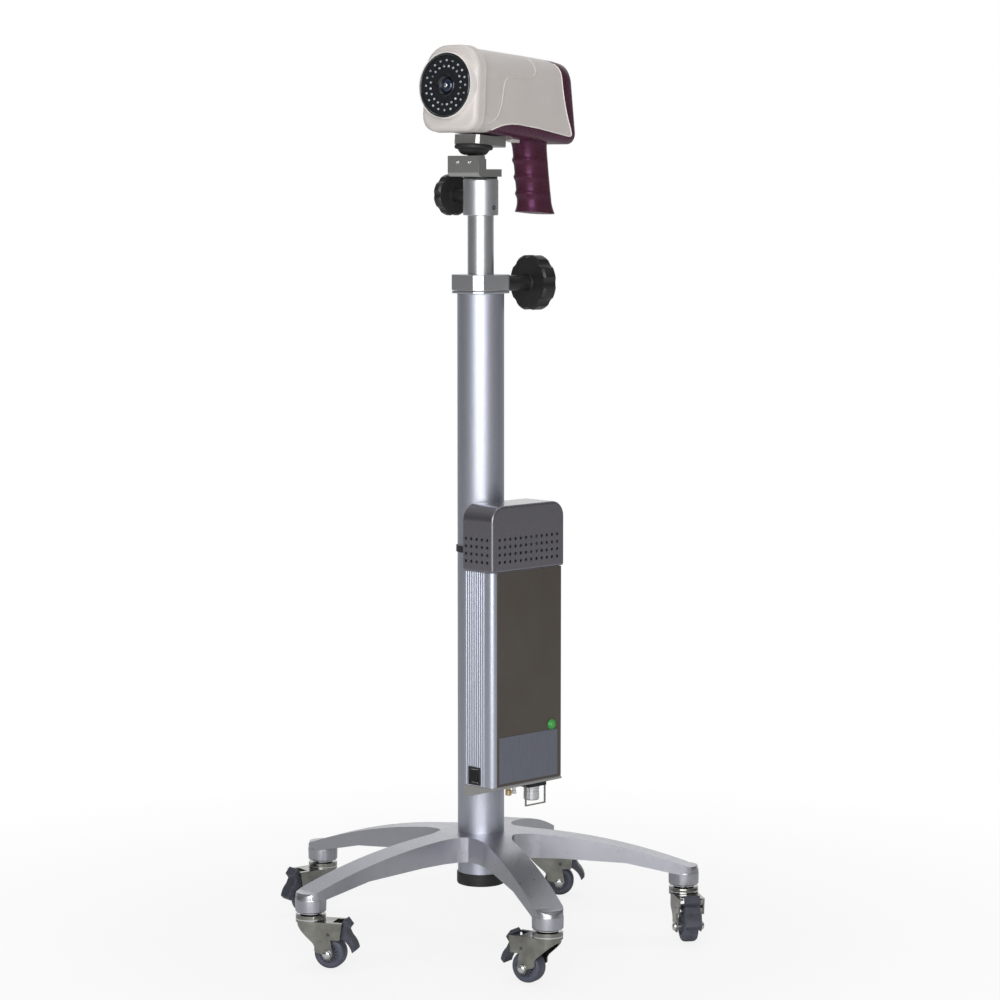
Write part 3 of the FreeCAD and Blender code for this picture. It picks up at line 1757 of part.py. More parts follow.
def build():
    star_base()
    column_parts()
    clamp_collar()
    knobs()
    upper_collar()
    angle_bracket()
    tilt_block()
    tilt_parts()
    front_housing()
    rear_housing()
    trigger()
    optics()
    case_parts()
    bottom_cap()
    vent_cap()
    fixings()
    electronics()
    switch()
    sockets()
    castor_stems()
    headings = [
        s.castor_heading_1,
        s.castor_heading_2,
        s.castor_heading_3,
        s.castor_heading_4,
        s.castor_heading_5,
    ]
    legs = [2, 3, 4, 0, 1]
    for number, (leg, heading) in enumerate(zip(legs, headings), start=1):
        castor(number, leg, heading)


def write_parts():
    """Check every object and every piece, then write one file for each piece."""
    doc.recompute()
    failed = [item.Label for item in doc.Objects if "Invalid" in item.State or "Error" in item.State]
    if failed:
        raise RuntimeError("these objects failed: " + ", ".join(failed))
    for piece in pieces:
        if piece.Shape.isNull() or not piece.Shape.isValid():
            raise RuntimeError(piece.Label + " has no valid shape")
    os.makedirs("parts", exist_ok=True)
    for piece in pieces:
        piece.Shape.exportStep(os.path.join("parts", piece.Label + ".step"))


build()
write_parts()
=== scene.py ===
import json
import math

import bmesh
import bpy
from bpy.props import FloatProperty, FloatVectorProperty, IntProperty, PointerProperty
from mathutils import Euler, Matrix, Vector

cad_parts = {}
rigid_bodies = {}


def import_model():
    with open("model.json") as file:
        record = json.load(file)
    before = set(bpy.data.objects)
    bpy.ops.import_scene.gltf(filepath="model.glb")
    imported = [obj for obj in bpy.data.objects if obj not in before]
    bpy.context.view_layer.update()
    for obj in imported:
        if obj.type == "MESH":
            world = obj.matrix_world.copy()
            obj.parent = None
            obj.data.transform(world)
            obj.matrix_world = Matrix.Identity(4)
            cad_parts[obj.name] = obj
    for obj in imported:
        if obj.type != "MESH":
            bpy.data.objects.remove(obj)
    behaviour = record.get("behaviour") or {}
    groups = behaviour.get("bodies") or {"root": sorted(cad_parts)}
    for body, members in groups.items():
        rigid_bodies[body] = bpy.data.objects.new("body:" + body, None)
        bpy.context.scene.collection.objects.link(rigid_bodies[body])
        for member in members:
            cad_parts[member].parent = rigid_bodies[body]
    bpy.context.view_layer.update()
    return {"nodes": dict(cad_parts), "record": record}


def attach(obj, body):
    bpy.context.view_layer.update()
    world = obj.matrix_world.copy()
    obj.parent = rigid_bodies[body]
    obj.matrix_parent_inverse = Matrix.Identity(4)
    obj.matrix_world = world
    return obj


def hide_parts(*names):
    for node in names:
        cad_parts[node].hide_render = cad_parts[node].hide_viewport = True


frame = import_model()

bl_info = {
    "name": "Video colposcope stand",
    "version": (1, 0, 0),
    "blender": (4, 5, 0),
    "location": "3D View > Sidebar > Colposcope",
    "description": "Dresses the stand: shells, castings, castors, control box and finishes",
    "category": "Add Mesh",
}

MM = 0.001
SAME = 0.001 * MM
CLOSE = 0.01 * MM
BODY_OF = {node: body for body, nodes in frame["record"]["behaviour"]["bodies"].items() for node in nodes}


def place(x=0.0, y=0.0, z=0.0, yaw=0.0, pitch=0.0, roll=0.0):
    """A frame turned by roll, pitch and yaw in degrees, then moved by millimetres."""
    turn = Euler([math.radians(angle) for angle in (roll, pitch, yaw)], "XYZ")
    return Matrix.Translation(Vector((x, y, z)) * MM) @ turn.to_matrix().to_4x4()


LENS_HEIGHT = 91.2
STAND = place()
PAN = place(yaw=232.2)
HEAD = PAN @ place(x=15.9, z=1003.1, pitch=-4.5)
LENS = HEAD @ place(x=10.0, z=LENS_HEIGHT, pitch=90)
CASE = place(yaw=45.0)
CASE_FRONT = -83.8
CASE_BACK = -31.8
CLAMP_YAW = 40.0
LEG_REACH = 263.5
HOOD_FRONT = 55.0
BACK_END = 165.5
BACK_LEAN = 12.5
CASTORS = {1: (144, -144.0), 2: (216, -16.0), 3: (288, 148.0), 4: (0, -80.0), 5: (72, -3.0)}


def castor_place(number):
    """The frame of one castor, with X the way it trails."""
    leg, heading = CASTORS[number]
    x = LEG_REACH * math.cos(math.radians(leg))
    y = LEG_REACH * math.sin(math.radians(leg))
    return place(x=x, y=y, yaw=heading)


# Sizes and colours that a user may change


def length_property(name, description, value):
    """A length setting, with its default in millimetres."""
    return FloatProperty(name=name, description=description, default=value * MM, unit="LENGTH")


def count_property(name, description, value, low):
    """A setting that counts repeated forms."""
    return IntProperty(name=name, description=description, default=value, min=low)


def colour_property(name, description, value):
    """A colour setting."""
    return FloatVectorProperty(
        name=name,
        description=description,
        default=value,
        subtype="COLOR",
        min=0,
        max=1,
    )


class StandSizes(bpy.types.PropertyGroup):
    column_radius: length_property("Column radius", "Outer column", 30)
    mast_radius: length_property("Mast radius", "Sliding column", 16.75)
    collar_radius: length_property("Collar radius", "Upper collar", 22.5)
    cap_radius: length_property("Foot cap radius", "Cap under the hub", 31.3)
    casting_edge: length_property("Casting edge", "Rounding of the legs", 4.2)
    height_knob: length_property("Height knob radius", "Large hand knob", 36)
    pan_knob: length_property("Pan knob radius", "Small hand knob", 27)
    knob_lobes: count_property("Knob lobes", "Lobes on each hand knob", 8, 3)
    wheel_radius: length_property("Wheel radius", "Castor wheel", 20)
    wheel_width: length_property("Wheel width", "Castor wheel", 20)
    wheel_webs: count_property("Wheel webs", "Webs round each wheel hub", 14, 3)


class HeadSizes(bpy.types.PropertyGroup):
    hood_half: length_property("Hood half width", "Front hood", 44)
    body_half: length_property("Back half width", "Back of the head", 36)
    hood_edge: length_property("Hood edge", "Rounding round the lens face", 7)
    bezel_radius: length_property("Bezel radius", "Ring round the lens", 40.2)
    lamp_count: count_property("Lamps in a ring", "Lamps in each ring", 20, 4)
    lamp_radius: length_property("Lamp radius", "One lamp", 2.3)
    seam_gap: length_property("Seam", "Rounding along the seam", 0.7)


class CaseSizes(bpy.types.PropertyGroup):
    width: length_property("Case width", "Wide face", 127)
    depth: length_property("Case depth", "Narrow side", 52)
    hole_radius: length_property("Vent hole radius", "One vent hole", 2.1)
    hole_pitch: length_property("Vent hole pitch", "Between two holes", 9.5)
    hole_columns: count_property("Vent columns", "Holes across the wide face", 12, 1)
    side_columns: count_property("Side columns", "Holes across a narrow side", 5, 1)
    hole_rows: count_property("Vent rows", "Rows of holes", 4, 1)
    plate_width: length_property("Rating plate width", "Bare plate", 106)
    plate_height: length_property("Rating plate height", "Bare plate", 59.2)


class FinishColours(bpy.types.PropertyGroup):
    cast: colour_property("Cast base", "Painted aluminium casting", (0.46, 0.465, 0.51))
    column: colour_property("Column", "Anodised outer column", (0.54, 0.56, 0.64))
    mast: colour_property("Mast", "Polished sliding column", (0.66, 0.67, 0.7))
    zinc: colour_property("Zinc", "Plated castor sheet", (0.29, 0.29, 0.265))
    steel: colour_property("Steel", "Ground steel bracket", (0.5, 0.5, 0.49))
    black: colour_property("Black plastic", "Knobs and sockets", (0.014, 0.014, 0.014))
    cream: colour_property("Cream shell", "Front of the head", (0.66, 0.62, 0.595))
    maroon: colour_property("Maroon shell", "Back of the head and grip", (0.068, 0.019, 0.033))
    panel: colour_property("Panel", "Wide face of the case", (0.115, 0.102, 0.09))
    ribs: colour_property("Case sides", "Bright extrusion", (0.54, 0.57, 0.66))
    vents: colour_property("Vent cap", "Textured paint", (0.21, 0.202, 0.232))
    tyre: colour_property("Tyre", "Castor rubber", (0.075, 0.08, 0.11))
    pedal: colour_property("Pedal", "Moulded brake pedal", (0.05, 0.053, 0.072))
    plate: colour_property("Rating plate", "Bare plate", (0.2, 0.21, 0.255))
    disc: colour_property("Inspection disc", "Small plain disc", (0.05, 0.33, 0.06))
    brass: colour_property("Brass", "Ground post", (0.55, 0.4, 0.22))
    floor: colour_property("Floor", "Studio floor", (0.8, 0.8, 0.8))


# Modelling helpers


def clear():
    """Leave edit mode and select nothing."""
    active = bpy.context.view_layer.objects.active
    if active and active.mode == "EDIT":
        bpy.ops.object.mode_set(mode="OBJECT")
    bpy.ops.object.select_all(action="DESELECT")


def activate(form):
    """Select one piece alone and make it the active one."""
    clear()
    form.select_set(True)
    bpy.context.view_layer.objects.active = form


def edit():
    """Edit the active piece."""
    bpy.ops.object.mode_set(mode="EDIT")


def pick(wanted, kind="faces"):
    """Select the faces, edges or corners that a test picks."""
    mode = {"faces": "FACE", "edges": "EDGE", "verts": "VERT"}[kind]
    bpy.ops.mesh.select_mode(type=mode)
    bpy.ops.mesh.select_all(action="DESELECT")
    form = bpy.context.object
    shape = bmesh.from_edit_mesh(form.data)
    for item in getattr(shape, kind):
        if wanted(item):
            item.select_set(True)
    shape.select_flush_mode()
    bmesh.update_edit_mesh(form.data)


def middle(edge):
    """The middle of an edge."""
    return (edge.verts[0].co + edge.verts[1].co) / 2


def modify(kind, **values):
    """Add a modifier to the active piece and apply it."""
    form = bpy.context.object
    made = form.modifiers.new(kind.title(), kind)
    for name, value in values.items():
        setattr(made, name, value)
    bpy.ops.object.modifier_apply(modifier=made.name)


def round_edges(width, steps=2, angle=35):
    """Round the sharp edges of the active piece."""
    modify(
        "BEVEL",
        width=width,
        segments=steps,
        limit_method="ANGLE",
        angle_limit=math.radians(angle),
        use_clamp_overlap=True,
    )
    close_slivers()


def close_slivers(size=0.03):
    """Close the needle faces of the active piece."""
    edit()
    bpy.ops.mesh.select_all(action="SELECT")
    bpy.ops.mesh.dissolve_degenerate(threshold=size * MM)
    bpy.ops.mesh.remove_doubles(threshold=size * MM)
    bpy.ops.object.mode_set(mode="OBJECT")


def smooth(angle=40, weighted=True):
    """Shade the active piece smooth, with its flat faces kept flat."""
    bpy.ops.object.shade_smooth_by_angle(angle=math.radians(angle))
    if weighted:
        modify("WEIGHTED_NORMAL", keep_sharp=True, weight=50)


def settle(name, where, finish, node=None, body=None):
    """Put the active piece in its place, give it its finish and let it ride."""
    form = bpy.context.object
    if form.mode == "EDIT":
        bpy.ops.object.mode_set(mode="OBJECT")
    form.name = name
    form.data.name = name
    form.matrix_world = where @ form.matrix_world
    bpy.ops.object.transform_apply(location=True, rotation=True, scale=True)
    form.data.materials.clear()
    form.data.materials.append(FINISHES[finish])
    nodes = [node] if isinstance(node, str) else list(node or [])
    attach(form, body or BODY_OF[nodes[0]])
    if nodes:
        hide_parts(*nodes)
    return form


def tidy_mesh():
    """Close doubled corners and face outwards, in edit mode."""
    bpy.ops.mesh.select_mode(type="VERT")
    bpy.ops.mesh.select_all(action="SELECT")
    bpy.ops.mesh.remove_doubles(threshold=CLOSE)
    bpy.ops.mesh.normals_make_consistent(inside=False)


def turned(steps, sides=72, closed=False):
    """Turn a profile of radius and height, in millimetres, about Z: a ring raised step by step."""
    clear()
    radius, height = steps[0]
    bpy.ops.mesh.primitive_circle_add(
        vertices=sides,
        radius=radius * MM,
        location=(0, 0, height * MM),
        fill_type="NOTHING" if closed else "NGON",
    )
    edit()
    if not closed:
        bpy.ops.mesh.select_mode(type="EDGE")
    for wide, high in steps[1:] + ([steps[0]] if closed else []):
        bpy.ops.mesh.extrude_region_move(TRANSFORM_OT_translate={"value": (0, 0, (high - height) * MM)})
        share = wide / radius
        bpy.ops.transform.resize(value=(share, share, 1), center_override=(0, 0, high * MM))
        radius, height = wide, high
    tidy_mesh()
    bpy.ops.object.mode_set(mode="OBJECT")
    return bpy.context.object


def drawn(points, depth, start=0.0):
    """A flat outline in millimetres on the XY plane, drawn point by point and raised by its depth."""
    clear()
    first = points[0]
    bpy.ops.mesh.primitive_plane_add(size=MM, location=(first[0] * MM, first[1] * MM, start * MM))
    edit()
    bpy.ops.mesh.merge(type="CENTER")
    for last, point in zip(points, points[1:]):
        way = ((point[0] - last[0]) * MM, (point[1] - last[1]) * MM, 0)
        bpy.ops.mesh.extrude_region_move(TRANSFORM_OT_translate={"value": way})
    bpy.ops.mesh.select_all(action="SELECT")
    bpy.ops.mesh.edge_face_add()
    bpy.ops.mesh.extrude_region_move(TRANSFORM_OT_translate={"value": (0, 0, depth * MM)})
    tidy_mesh()
    bpy.ops.object.mode_set(mode="OBJECT")
    return bpy.context.object


def block(low, high):
    """A box between two corners, in millimetres."""
    clear()
    centre = [(a + b) / 2 * MM for a, b in zip(low, high)]
    span = [(b - a) * MM for a, b in zip(low, high)]
    bpy.ops.mesh.primitive_cube_add(size=1, location=centre)
    bpy.context.object.scale = span
    bpy.ops.object.transform_apply(location=True, rotation=True, scale=True)
    return bpy.context.object


def move_mesh(where):
    """Turn and move the active piece's own mesh."""
    form = bpy.context.object
    form.matrix_world = where @ form.matrix_world
    bpy.ops.object.transform_apply(location=True, rotation=True, scale=True)


def copy_of(form):
    """A copy of a piece with its own mesh, left as the active one."""
    activate(form)
    bpy.ops.object.duplicate()
    made = bpy.context.object
    for key in list(made.keys()):
        if key.startswith("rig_"):
            del made[key]
    if made.parent:
        bpy.ops.object.parent_clear(type="CLEAR_KEEP_TRANSFORM")
    made.hide_render = False
    made.hide_viewport = False
    return made


def carried(node, flat=0.6):
    """A copy of a CAD node's mesh, with triangles that lie flat to some degrees joined into faces."""
    weld = 0.005 * MM
    made = copy_of(frame["nodes"][node])
    edit()
    bpy.ops.mesh.select_mode(type="VERT")
    bpy.ops.mesh.select_all(action="SELECT")
    bpy.ops.mesh.remove_doubles(threshold=weld)
    bpy.ops.mesh.dissolve_limited(angle_limit=math.radians(flat))
    bpy.ops.object.mode_set(mode="OBJECT")
    return made


def dress(node, finish, edge, steps, angle, soft, name):
    """A rigid node of plain form, with its edges eased and its finish."""
    carried(node)
    round_edges(edge * MM, steps, angle)
    smooth(soft)
    settle(name, STAND, finish, node)


def cut_by(form, tool, kind="DIFFERENCE"):
    """Cut the first piece by the second, and drop the second."""
    activate(form)
    modify("BOOLEAN", operation=kind, object=tool, solver="EXACT")
    bpy.data.objects.remove(tool)
    return form


def joined(forms):
    """Several pieces as one."""
    clear()
    for form in forms:
        form.select_set(True)
    bpy.context.view_layer.objects.active = forms[0]
    bpy.ops.object.join()
    return bpy.context.object


# Finishes


def ranged(nodes, low, high, new_low, new_high):
    """A node that maps one range of values to another."""
    made = nodes.new("ShaderNodeMapRange")
    made.inputs["From Min"].default_value = low
    made.inputs["From Max"].default_value = high
    made.inputs["To Min"].default_value = new_low
    made.inputs["To Max"].default_value = new_high
    return made


FINISHES = {}


class Finish:
    """A procedural material: a Principled shader and the nodes that vary it over the surface."""

    def __init__(self, key, name, colour, roughness, metallic=0.0, **sockets):
        self.material = bpy.data.materials.new(name)
        self.material.use_nodes = True
        self.nodes = self.material.node_tree.nodes
        self.links = self.material.node_tree.links
        self.shader = self.nodes["Principled BSDF"]
        self.colour = tuple(colour) + (1.0,)
        self.shader.inputs["Base Color"].default_value = self.colour
        self.shader.inputs["Roughness"].default_value = roughness
        self.shader.inputs["Metallic"].default_value = metallic
        for socket, value in sockets.items():
            self.shader.inputs[socket.replace("_", " ")].default_value = value
        self.material.diffuse_color = self.colour
        FINISHES[key] = self.material

    def pattern(self, stretch):
        """Object coordinates, stretched along the grain of the finish."""
        source = self.nodes.new("ShaderNodeTexCoord")
        mapping = self.nodes.new("ShaderNodeMapping")
        mapping.inputs["Scale"].default_value = stretch
        self.links.new(source.outputs["Object"], mapping.inputs["Vector"])
        return mapping.outputs["Vector"]

    def noise(self, scale, detail, stretch=(1, 1, 1)):
        """Cloudy variation at a scale per metre, which the three methods below take as their cloud."""
        made = self.nodes.new("ShaderNodeTexNoise")
        made.inputs["Scale"].default_value = scale
        made.inputs["Detail"].default_value = detail
        made.inputs["Roughness"].default_value = 0.55
        self.links.new(self.pattern(stretch), made.inputs["Vector"])
        return made.outputs["Fac"]

    def spread(self, value, low, high):
        """A value of 0.3 to 0.7 spread between two numbers."""
        made = ranged(self.nodes, 0.3, 0.7, low, high)
        self.links.new(value, made.inputs["Value"])
        return made.outputs["Result"]

    def tint(self, cloud, dark, light, warm=0.0):
        """Vary the colour between a darker and a lighter shade."""
        value = self.noise(*cloud)
        mixer = self.nodes.new("ShaderNodeMix")
        mixer.data_type = "RGBA"
        shift = (1 + warm, 1.0, 1 - warm)
        mixer.inputs["A"].default_value = tuple(c * dark * w for c, w in zip(self.colour, shift)) + (1.0,)
        mixer.inputs["B"].default_value = tuple(min(c * light, 1.0) for c in self.colour[:3]) + (1.0,)
        self.links.new(self.spread(value, 0.0, 1.0), mixer.inputs["Factor"])
        self.links.new(mixer.outputs["Result"], self.shader.inputs["Base Color"])
        return self

    def polish(self, cloud, less, more):
        """Vary the roughness."""
        self.links.new(self.spread(self.noise(*cloud), less, more), self.shader.inputs["Roughness"])
        return self

    def relief(self, cloud, height, strength):
        """Raise fine relief, to a height in millimetres."""
        value = self.noise(*cloud)
        bump = self.nodes.new("ShaderNodeBump")
        bump.inputs["Strength"].default_value = strength
        bump.inputs["Distance"].default_value = height * MM
        self.links.new(value, bump.inputs["Height"])
        self.links.new(bump.outputs["Normal"], self.shader.inputs["Normal"])
        return self


def stand_metals(c):
    """Casting, columns, plated sheet, bracket and screws."""
    made = Finish("cast", "cast_silver_paint", c.cast, 0.3, metallic=0.92)
    made.tint((14, 4), 0.95, 1.04).polish((160, 3), 0.27, 0.35).relief((1300, 2), 0.05, 0.1)
    made = Finish("column", "anodised_column", c.column, 0.45, metallic=1.0)
    made.tint((420, 3, (1, 1, 0.3)), 0.97, 1.03).polish((700, 3, (1, 1, 0.4)), 0.43, 0.48)
    made.relief((2400, 2), 0.02, 0.08)
    made = Finish("mast", "polished_mast", c.mast, 0.36, metallic=1.0)
    made.tint((60, 3, (1, 1, 0.1)), 0.97, 1.03).polish((700, 3, (1, 1, 0.3)), 0.34, 0.38)
    made.relief((2400, 2), 0.01, 0.06)
    made = Finish("collar", "turned_collar", c.mast, 0.4, metallic=1.0)
    made.tint((50, 3), 0.96, 1.03).polish((900, 2, (0.3, 0.3, 1)), 0.38, 0.43).relief((2200, 2), 0.01, 0.06)
    made = Finish("zinc", "zinc_plate", c.zinc, 0.2, metallic=1.0)
    made.tint((45, 3), 0.75, 1.3, 0.02).polish((300, 3), 0.14, 0.22).relief((70, 2), 0.25, 0.6)
    made = Finish("steel", "ground_steel", c.steel, 0.38, metallic=0.9)
    made.tint((500, 3), 0.95, 1.05).polish((500, 3), 0.3, 0.4).relief((1800, 2), 0.02, 0.1)
    made = Finish("bright", "bright_screws", (0.75, 0.76, 0.78), 0.16, metallic=1.0)
    made.tint((400, 2), 0.85, 1.1).polish((900, 2), 0.12, 0.24)


def moulded_plastics(c):
    """Black parts and the two shells of the head."""
    made = Finish("knob", "knob_black", c.black, 0.4, Coat_Weight=0.12, Coat_Roughness=0.12)
    made.tint((60, 3), 0.9, 1.15).polish((250, 3), 0.36, 0.46).relief((1100, 2), 0.04, 0.12)
    made = Finish("black", "matt_black", c.black, 0.5)
    made.tint((80, 3), 0.8, 1.5).polish((400, 3), 0.42, 0.6).relief((1500, 2), 0.08, 0.25)
    made = Finish("cream", "cream_moulding", c.cream, 0.36, Coat_Weight=0.15, Coat_Roughness=0.25)
    made.tint((22, 4), 0.97, 1.03, 0.01).polish((350, 3), 0.32, 0.44).relief((2200, 2), 0.05, 0.15)
    made = Finish("maroon", "maroon_moulding", c.maroon, 0.3)
    made.tint((30, 4), 0.85, 1.15).polish((300, 3), 0.24, 0.38).relief((2000, 2), 0.05, 0.15)
    made.shader.inputs["Specular Tint"].default_value = (0.85, 0.38, 0.9, 1)
    # Pale finish for the lens rim and the trigger cap; on the seam bead its pale colour is a painted
    # highlight.
    made = Finish("rim", "seam_rim", (0.86, 0.82, 0.8), 0.3)
    made.tint((60, 2), 0.96, 1.03)


def lens_finishes():
    """Bezel, lamp plate, lamps and glass."""
    jet = (0.008, 0.009, 0.011)
    made = Finish("lens_black", "lens_black", jet, 0.14, Coat_Weight=0.6, Coat_Roughness=0.05)
    made.tint((50, 2), 0.8, 1.4).polish((200, 2), 0.1, 0.2)
    made = Finish("lamp_plate", "lamp_plate_black", (0.012, 0.013, 0.016), 0.32)
    made.tint((300, 3), 0.7, 1.5).polish((500, 2), 0.26, 0.42)
    made = Finish("lamp", "lamp_clear", (0.3, 0.33, 0.37), 0.06, Coat_Weight=1.0, Coat_Roughness=0.02)
    # The noise swings each lamp from near black to bright: painted glints.
    made.tint((70, 2), 0.12, 2.4)
    dark = (0.01, 0.016, 0.03)
    blue = (0.6, 0.75, 1, 1)
    made = Finish("glass", "coated_glass", dark, 0.04, Coat_Weight=1.0, Coat_Roughness=0.02, Coat_Tint=blue)
    made.tint((40, 2), 0.6, 1.6)


def case_finishes(c):
    """Panel, extrusion and vent cap of the control box."""
    made = Finish("panel", "brushed_panel", c.panel, 0.4, metallic=0.5)
    made.tint((9, 3), 0.9, 1.1, 0.04).polish((600, 3), 0.36, 0.44).relief((2200, 2), 0.02, 0.1)
    made = Finish("extrusion", "bright_extrusion", c.ribs, 0.28, metallic=0.95)
    made.tint((500, 3), 0.98, 1.02).polish((700, 3), 0.28, 0.31).relief((300, 2), 0.004, 0.04)
    gloss = {"Coat_Weight": 0.6, "Coat_Roughness": 0.1}
    made = Finish("vents", "textured_vent_paint", c.vents, 0.3, metallic=0.8, **gloss)
    made.tint((900, 3), 0.93, 1.08).polish((1100, 2), 0.26, 0.36).relief((1500, 2), 0.02, 0.1)


def castor_plastics(c):
    """Tyres and pedals."""
    made = Finish("tyre", "castor_tyre", c.tyre, 0.46)
    made.tint((120, 3), 0.82, 1.2).polish((400, 3), 0.36, 0.56).relief((1300, 2), 0.08, 0.2)
    made = Finish("pedal", "pedal_nylon", c.pedal, 0.4)
    made.tint((150, 3), 0.8, 1.25).polish((450, 3), 0.32, 0.5).relief((1200, 2), 0.06, 0.2)


def small_finishes(c):
    """Plate, disc, brass and the pieces inside."""
    made = Finish("plate", "bare_plate", c.plate, 0.4, metallic=0.6)
    made.tint((500, 3, (1, 1, 0.1)), 0.93, 1.07).polish((500, 2), 0.34, 0.46)
    made = Finish("disc", "green_disc", c.disc, 0.35)
    made.tint((900, 2), 0.85, 1.2)
    made = Finish("brass", "turned_brass", c.brass, 0.28, metallic=1.0)
    made.tint((300, 3), 0.8, 1.15).polish((900, 2, (0.1, 0.1, 1)), 0.2, 0.38)
    made = Finish("nylon", "guide_nylon", (0.7, 0.69, 0.65), 0.45)
    made.tint((200, 3), 0.94, 1.04).relief((1200, 2), 0.05, 0.15)
    made = Finish("board", "board_green", (0.01, 0.09, 0.035), 0.4)
    made.tint((400, 4), 0.7, 1.5).polish((600, 2), 0.3, 0.5)


def make_finishes():
    """Every finish of the stand."""
    c = bpy.context.scene.finish_colours
    stand_metals(c)
    moulded_plastics(c)
    lens_finishes()
    case_finishes(c)
    castor_plastics(c)
    small_finishes(c)


PLAIN_NODES = {
    "column_bush": "nylon",
    "guide_piston": "nylon",
    "camera_module": "black",
    "power_board": "board",
    "pan_spigot": "bright",
    "lens_barrel": "lens_black",
    "tilt_block": "steel",
}


# Stand


def model_column():
    """Outer column, foot cap and the strap that holds the control box."""
    stand = bpy.context.scene.stand_sizes
    outer = stand.column_radius / MM
    foot, top, wall = 84, 837, 2.9
    turned([(outer - wall, foot), (outer, foot), (outer, top), (outer - wall, top)], 96, closed=True)
    smooth(30)
    settle("outer_column_tube", STAND, "column", "outer_column")
    cap = stand.cap_radius / MM
    grip = outer + 0.05
    profile = [
        (cap - 9, 72),
        (cap - 2.5, 72),
        (cap - 0.7, 72.8),
        (cap, 75),
        (cap, 87.4),
        (cap - 0.5, 88),
        (grip, 88),
        (grip, foot),
        (26, foot),
    ]
    turned(profile, 72)
    smooth(35)
    settle("foot_cap", STAND, "black", "hub_cap")
    turned([(30.1, 506), (31.75, 506), (31.75, 514), (30.1, 514)], 72, closed=True)
    smooth(30)
    settle("case_strap_band", STAND, "black", "case_strap")


def model_mast():
    """Sliding mast with its collar and washer."""
    stand = bpy.context.scene.stand_sizes
    mast = stand.mast_radius / MM
    foot, top, wall = 440, 947.6, 2.5
    turned([(mast - wall, foot), (mast, foot), (mast, top), (mast - wall, top)], 72, closed=True)
    smooth(30)
    settle("inner_column_tube", STAND, "mast", "inner_column")
    collar = stand.collar_radius / MM
    profile = [
        (17, 936.2),
        (collar - 0.8, 936.2),
        (collar, 937),
        (collar, 980.6),
        (collar - 1.2, 981.9),
        (9, 981.9),
    ]
    turned(profile, 96)
    smooth(35)
    settle("upper_collar_turning", STAND, "collar", "upper_collar")
    washer = collar - 1
    profile = [
        (8.5, 982),
        (washer - 0.4, 982),
        (washer, 982.4),
        (washer, 984.6),
        (washer - 0.4, 985),
        (8.5, 985),
    ]
    turned(profile, 72)
    smooth(35)
    settle("pan_washer", STAND, "black", "column_washer")


def model_set_screw():
    """The socket set screw in the upper collar."""
    turned([(2.9, 0), (2.9, 22.7), (2.5, 23), (1.6, 23), (1.4, 21.6)], 24)
    smooth(35)
    where = place(z=946.0, yaw=-42.0, pitch=90)
    settle("collar_set_screw", where, "black", body="mast")


def model_clamp():
    """The split clamp block at the top of the outer column."""
    half, cut = 30.9, 10.0
    octagon = [
        (half, cut - half),
        (half, half - cut),
        (half - cut, half),
        (cut - half, half),
        (-half, half - cut),
        (-half, cut - half),
        (cut - half, -half),
        (half - cut, -half),
    ]
    inner = [(x * 0.99, y * 0.99) for x, y in octagon]
    edge = 0.9 * MM
    lower = drawn(inner, 3.0, 837.1)
    round_edges(edge, 3)
    upper = drawn(octagon, 20.0, 841.0)
    round_edges(edge, 3)
    core = turned([(27.0, 836.9), (27.0, 860.6), (17.2, 860.6)], 72)
    joined([lower, upper, core])
    smooth(40)
    settle("clamp_block", place(yaw=CLAMP_YAW), "collar", "clamp_collar")


def model_knob(name, node, body, where, at, radius, thick, boss_radius, boss, stud, tip, lobe):
    """A lobed hand knob with a domed face, its boss and its stud."""
    start = at - thick / 2
    count = bpy.context.scene.stand_sizes.knob_lobes
    head = turned(
        [
            (radius * 0.5, start - 0.2),
            (radius - 2.6, start),
            (radius, start + 2.4),
            (radius, start + thick - 4.5),
            (radius - 1.4, start + thick - 2.2),
            (radius - 5, start + thick - 0.6),
            (radius * 0.5, start + thick - 0.2),
            (radius * 0.34, start + thick),
        ],
        96,
    )
    flutes = []
    out = (radius + lobe * 0.5) * MM
    for number in range(count):
        turn = math.radians(360 * number / count)
        clear()
        bpy.ops.mesh.primitive_cylinder_add(
            vertices=40,
            radius=lobe * 0.8 * MM,
            depth=(thick + 8) * MM,
            location=(out * math.cos(turn), out * math.sin(turn), at * MM),
        )
        flutes.append(bpy.context.object)
    cut_by(head, joined(flutes))
    round_edges(1.6 * MM, 4, 32)
    root = start - boss
    neck = turned(
        [
            (stud + 0.2, root),
            (boss_radius - 1, root),
            (boss_radius, root + 1),
            (boss_radius, start - 3),
            (boss_radius + 2.5, start + 0.4),
            (stud, start + 0.4),
        ],
        48,
    )
    joined([head, neck])
    smooth(38)
    settle(name, where, "knob", node)
    shank = stud - 0.1
    turned([(stud - 0.6, tip), (shank, tip + 0.6), (shank, root + 1), (stud - 1, root + 1)], 32)
    smooth(35)
    settle(name + "_stud", where, "bright", body=body)


def model_knobs():
    """Both hand knobs."""
    stand = bpy.context.scene.stand_sizes
    model_knob(
        "height_knob_lobes",
        "height_knob",
        "height_clamp",
        place(yaw=CLAMP_YAW, z=849.0, pitch=90),
        at=89,
        radius=stand.height_knob / MM,
        thick=22,
        boss_radius=10,
        boss=40,
        stud=5,
        tip=17.05,
        lobe=13,
    )
    model_knob(
        "pan_knob_lobes",
        "pan_knob",
        "pan_clamp",
        place(yaw=128.0, z=962.0, pitch=90),
        at=60,
        radius=stand.pan_knob / MM,
        thick=15,
        boss_radius=7.5,
        boss=26,
        stud=3,
        tip=8.3,
        lobe=9.5,
    )


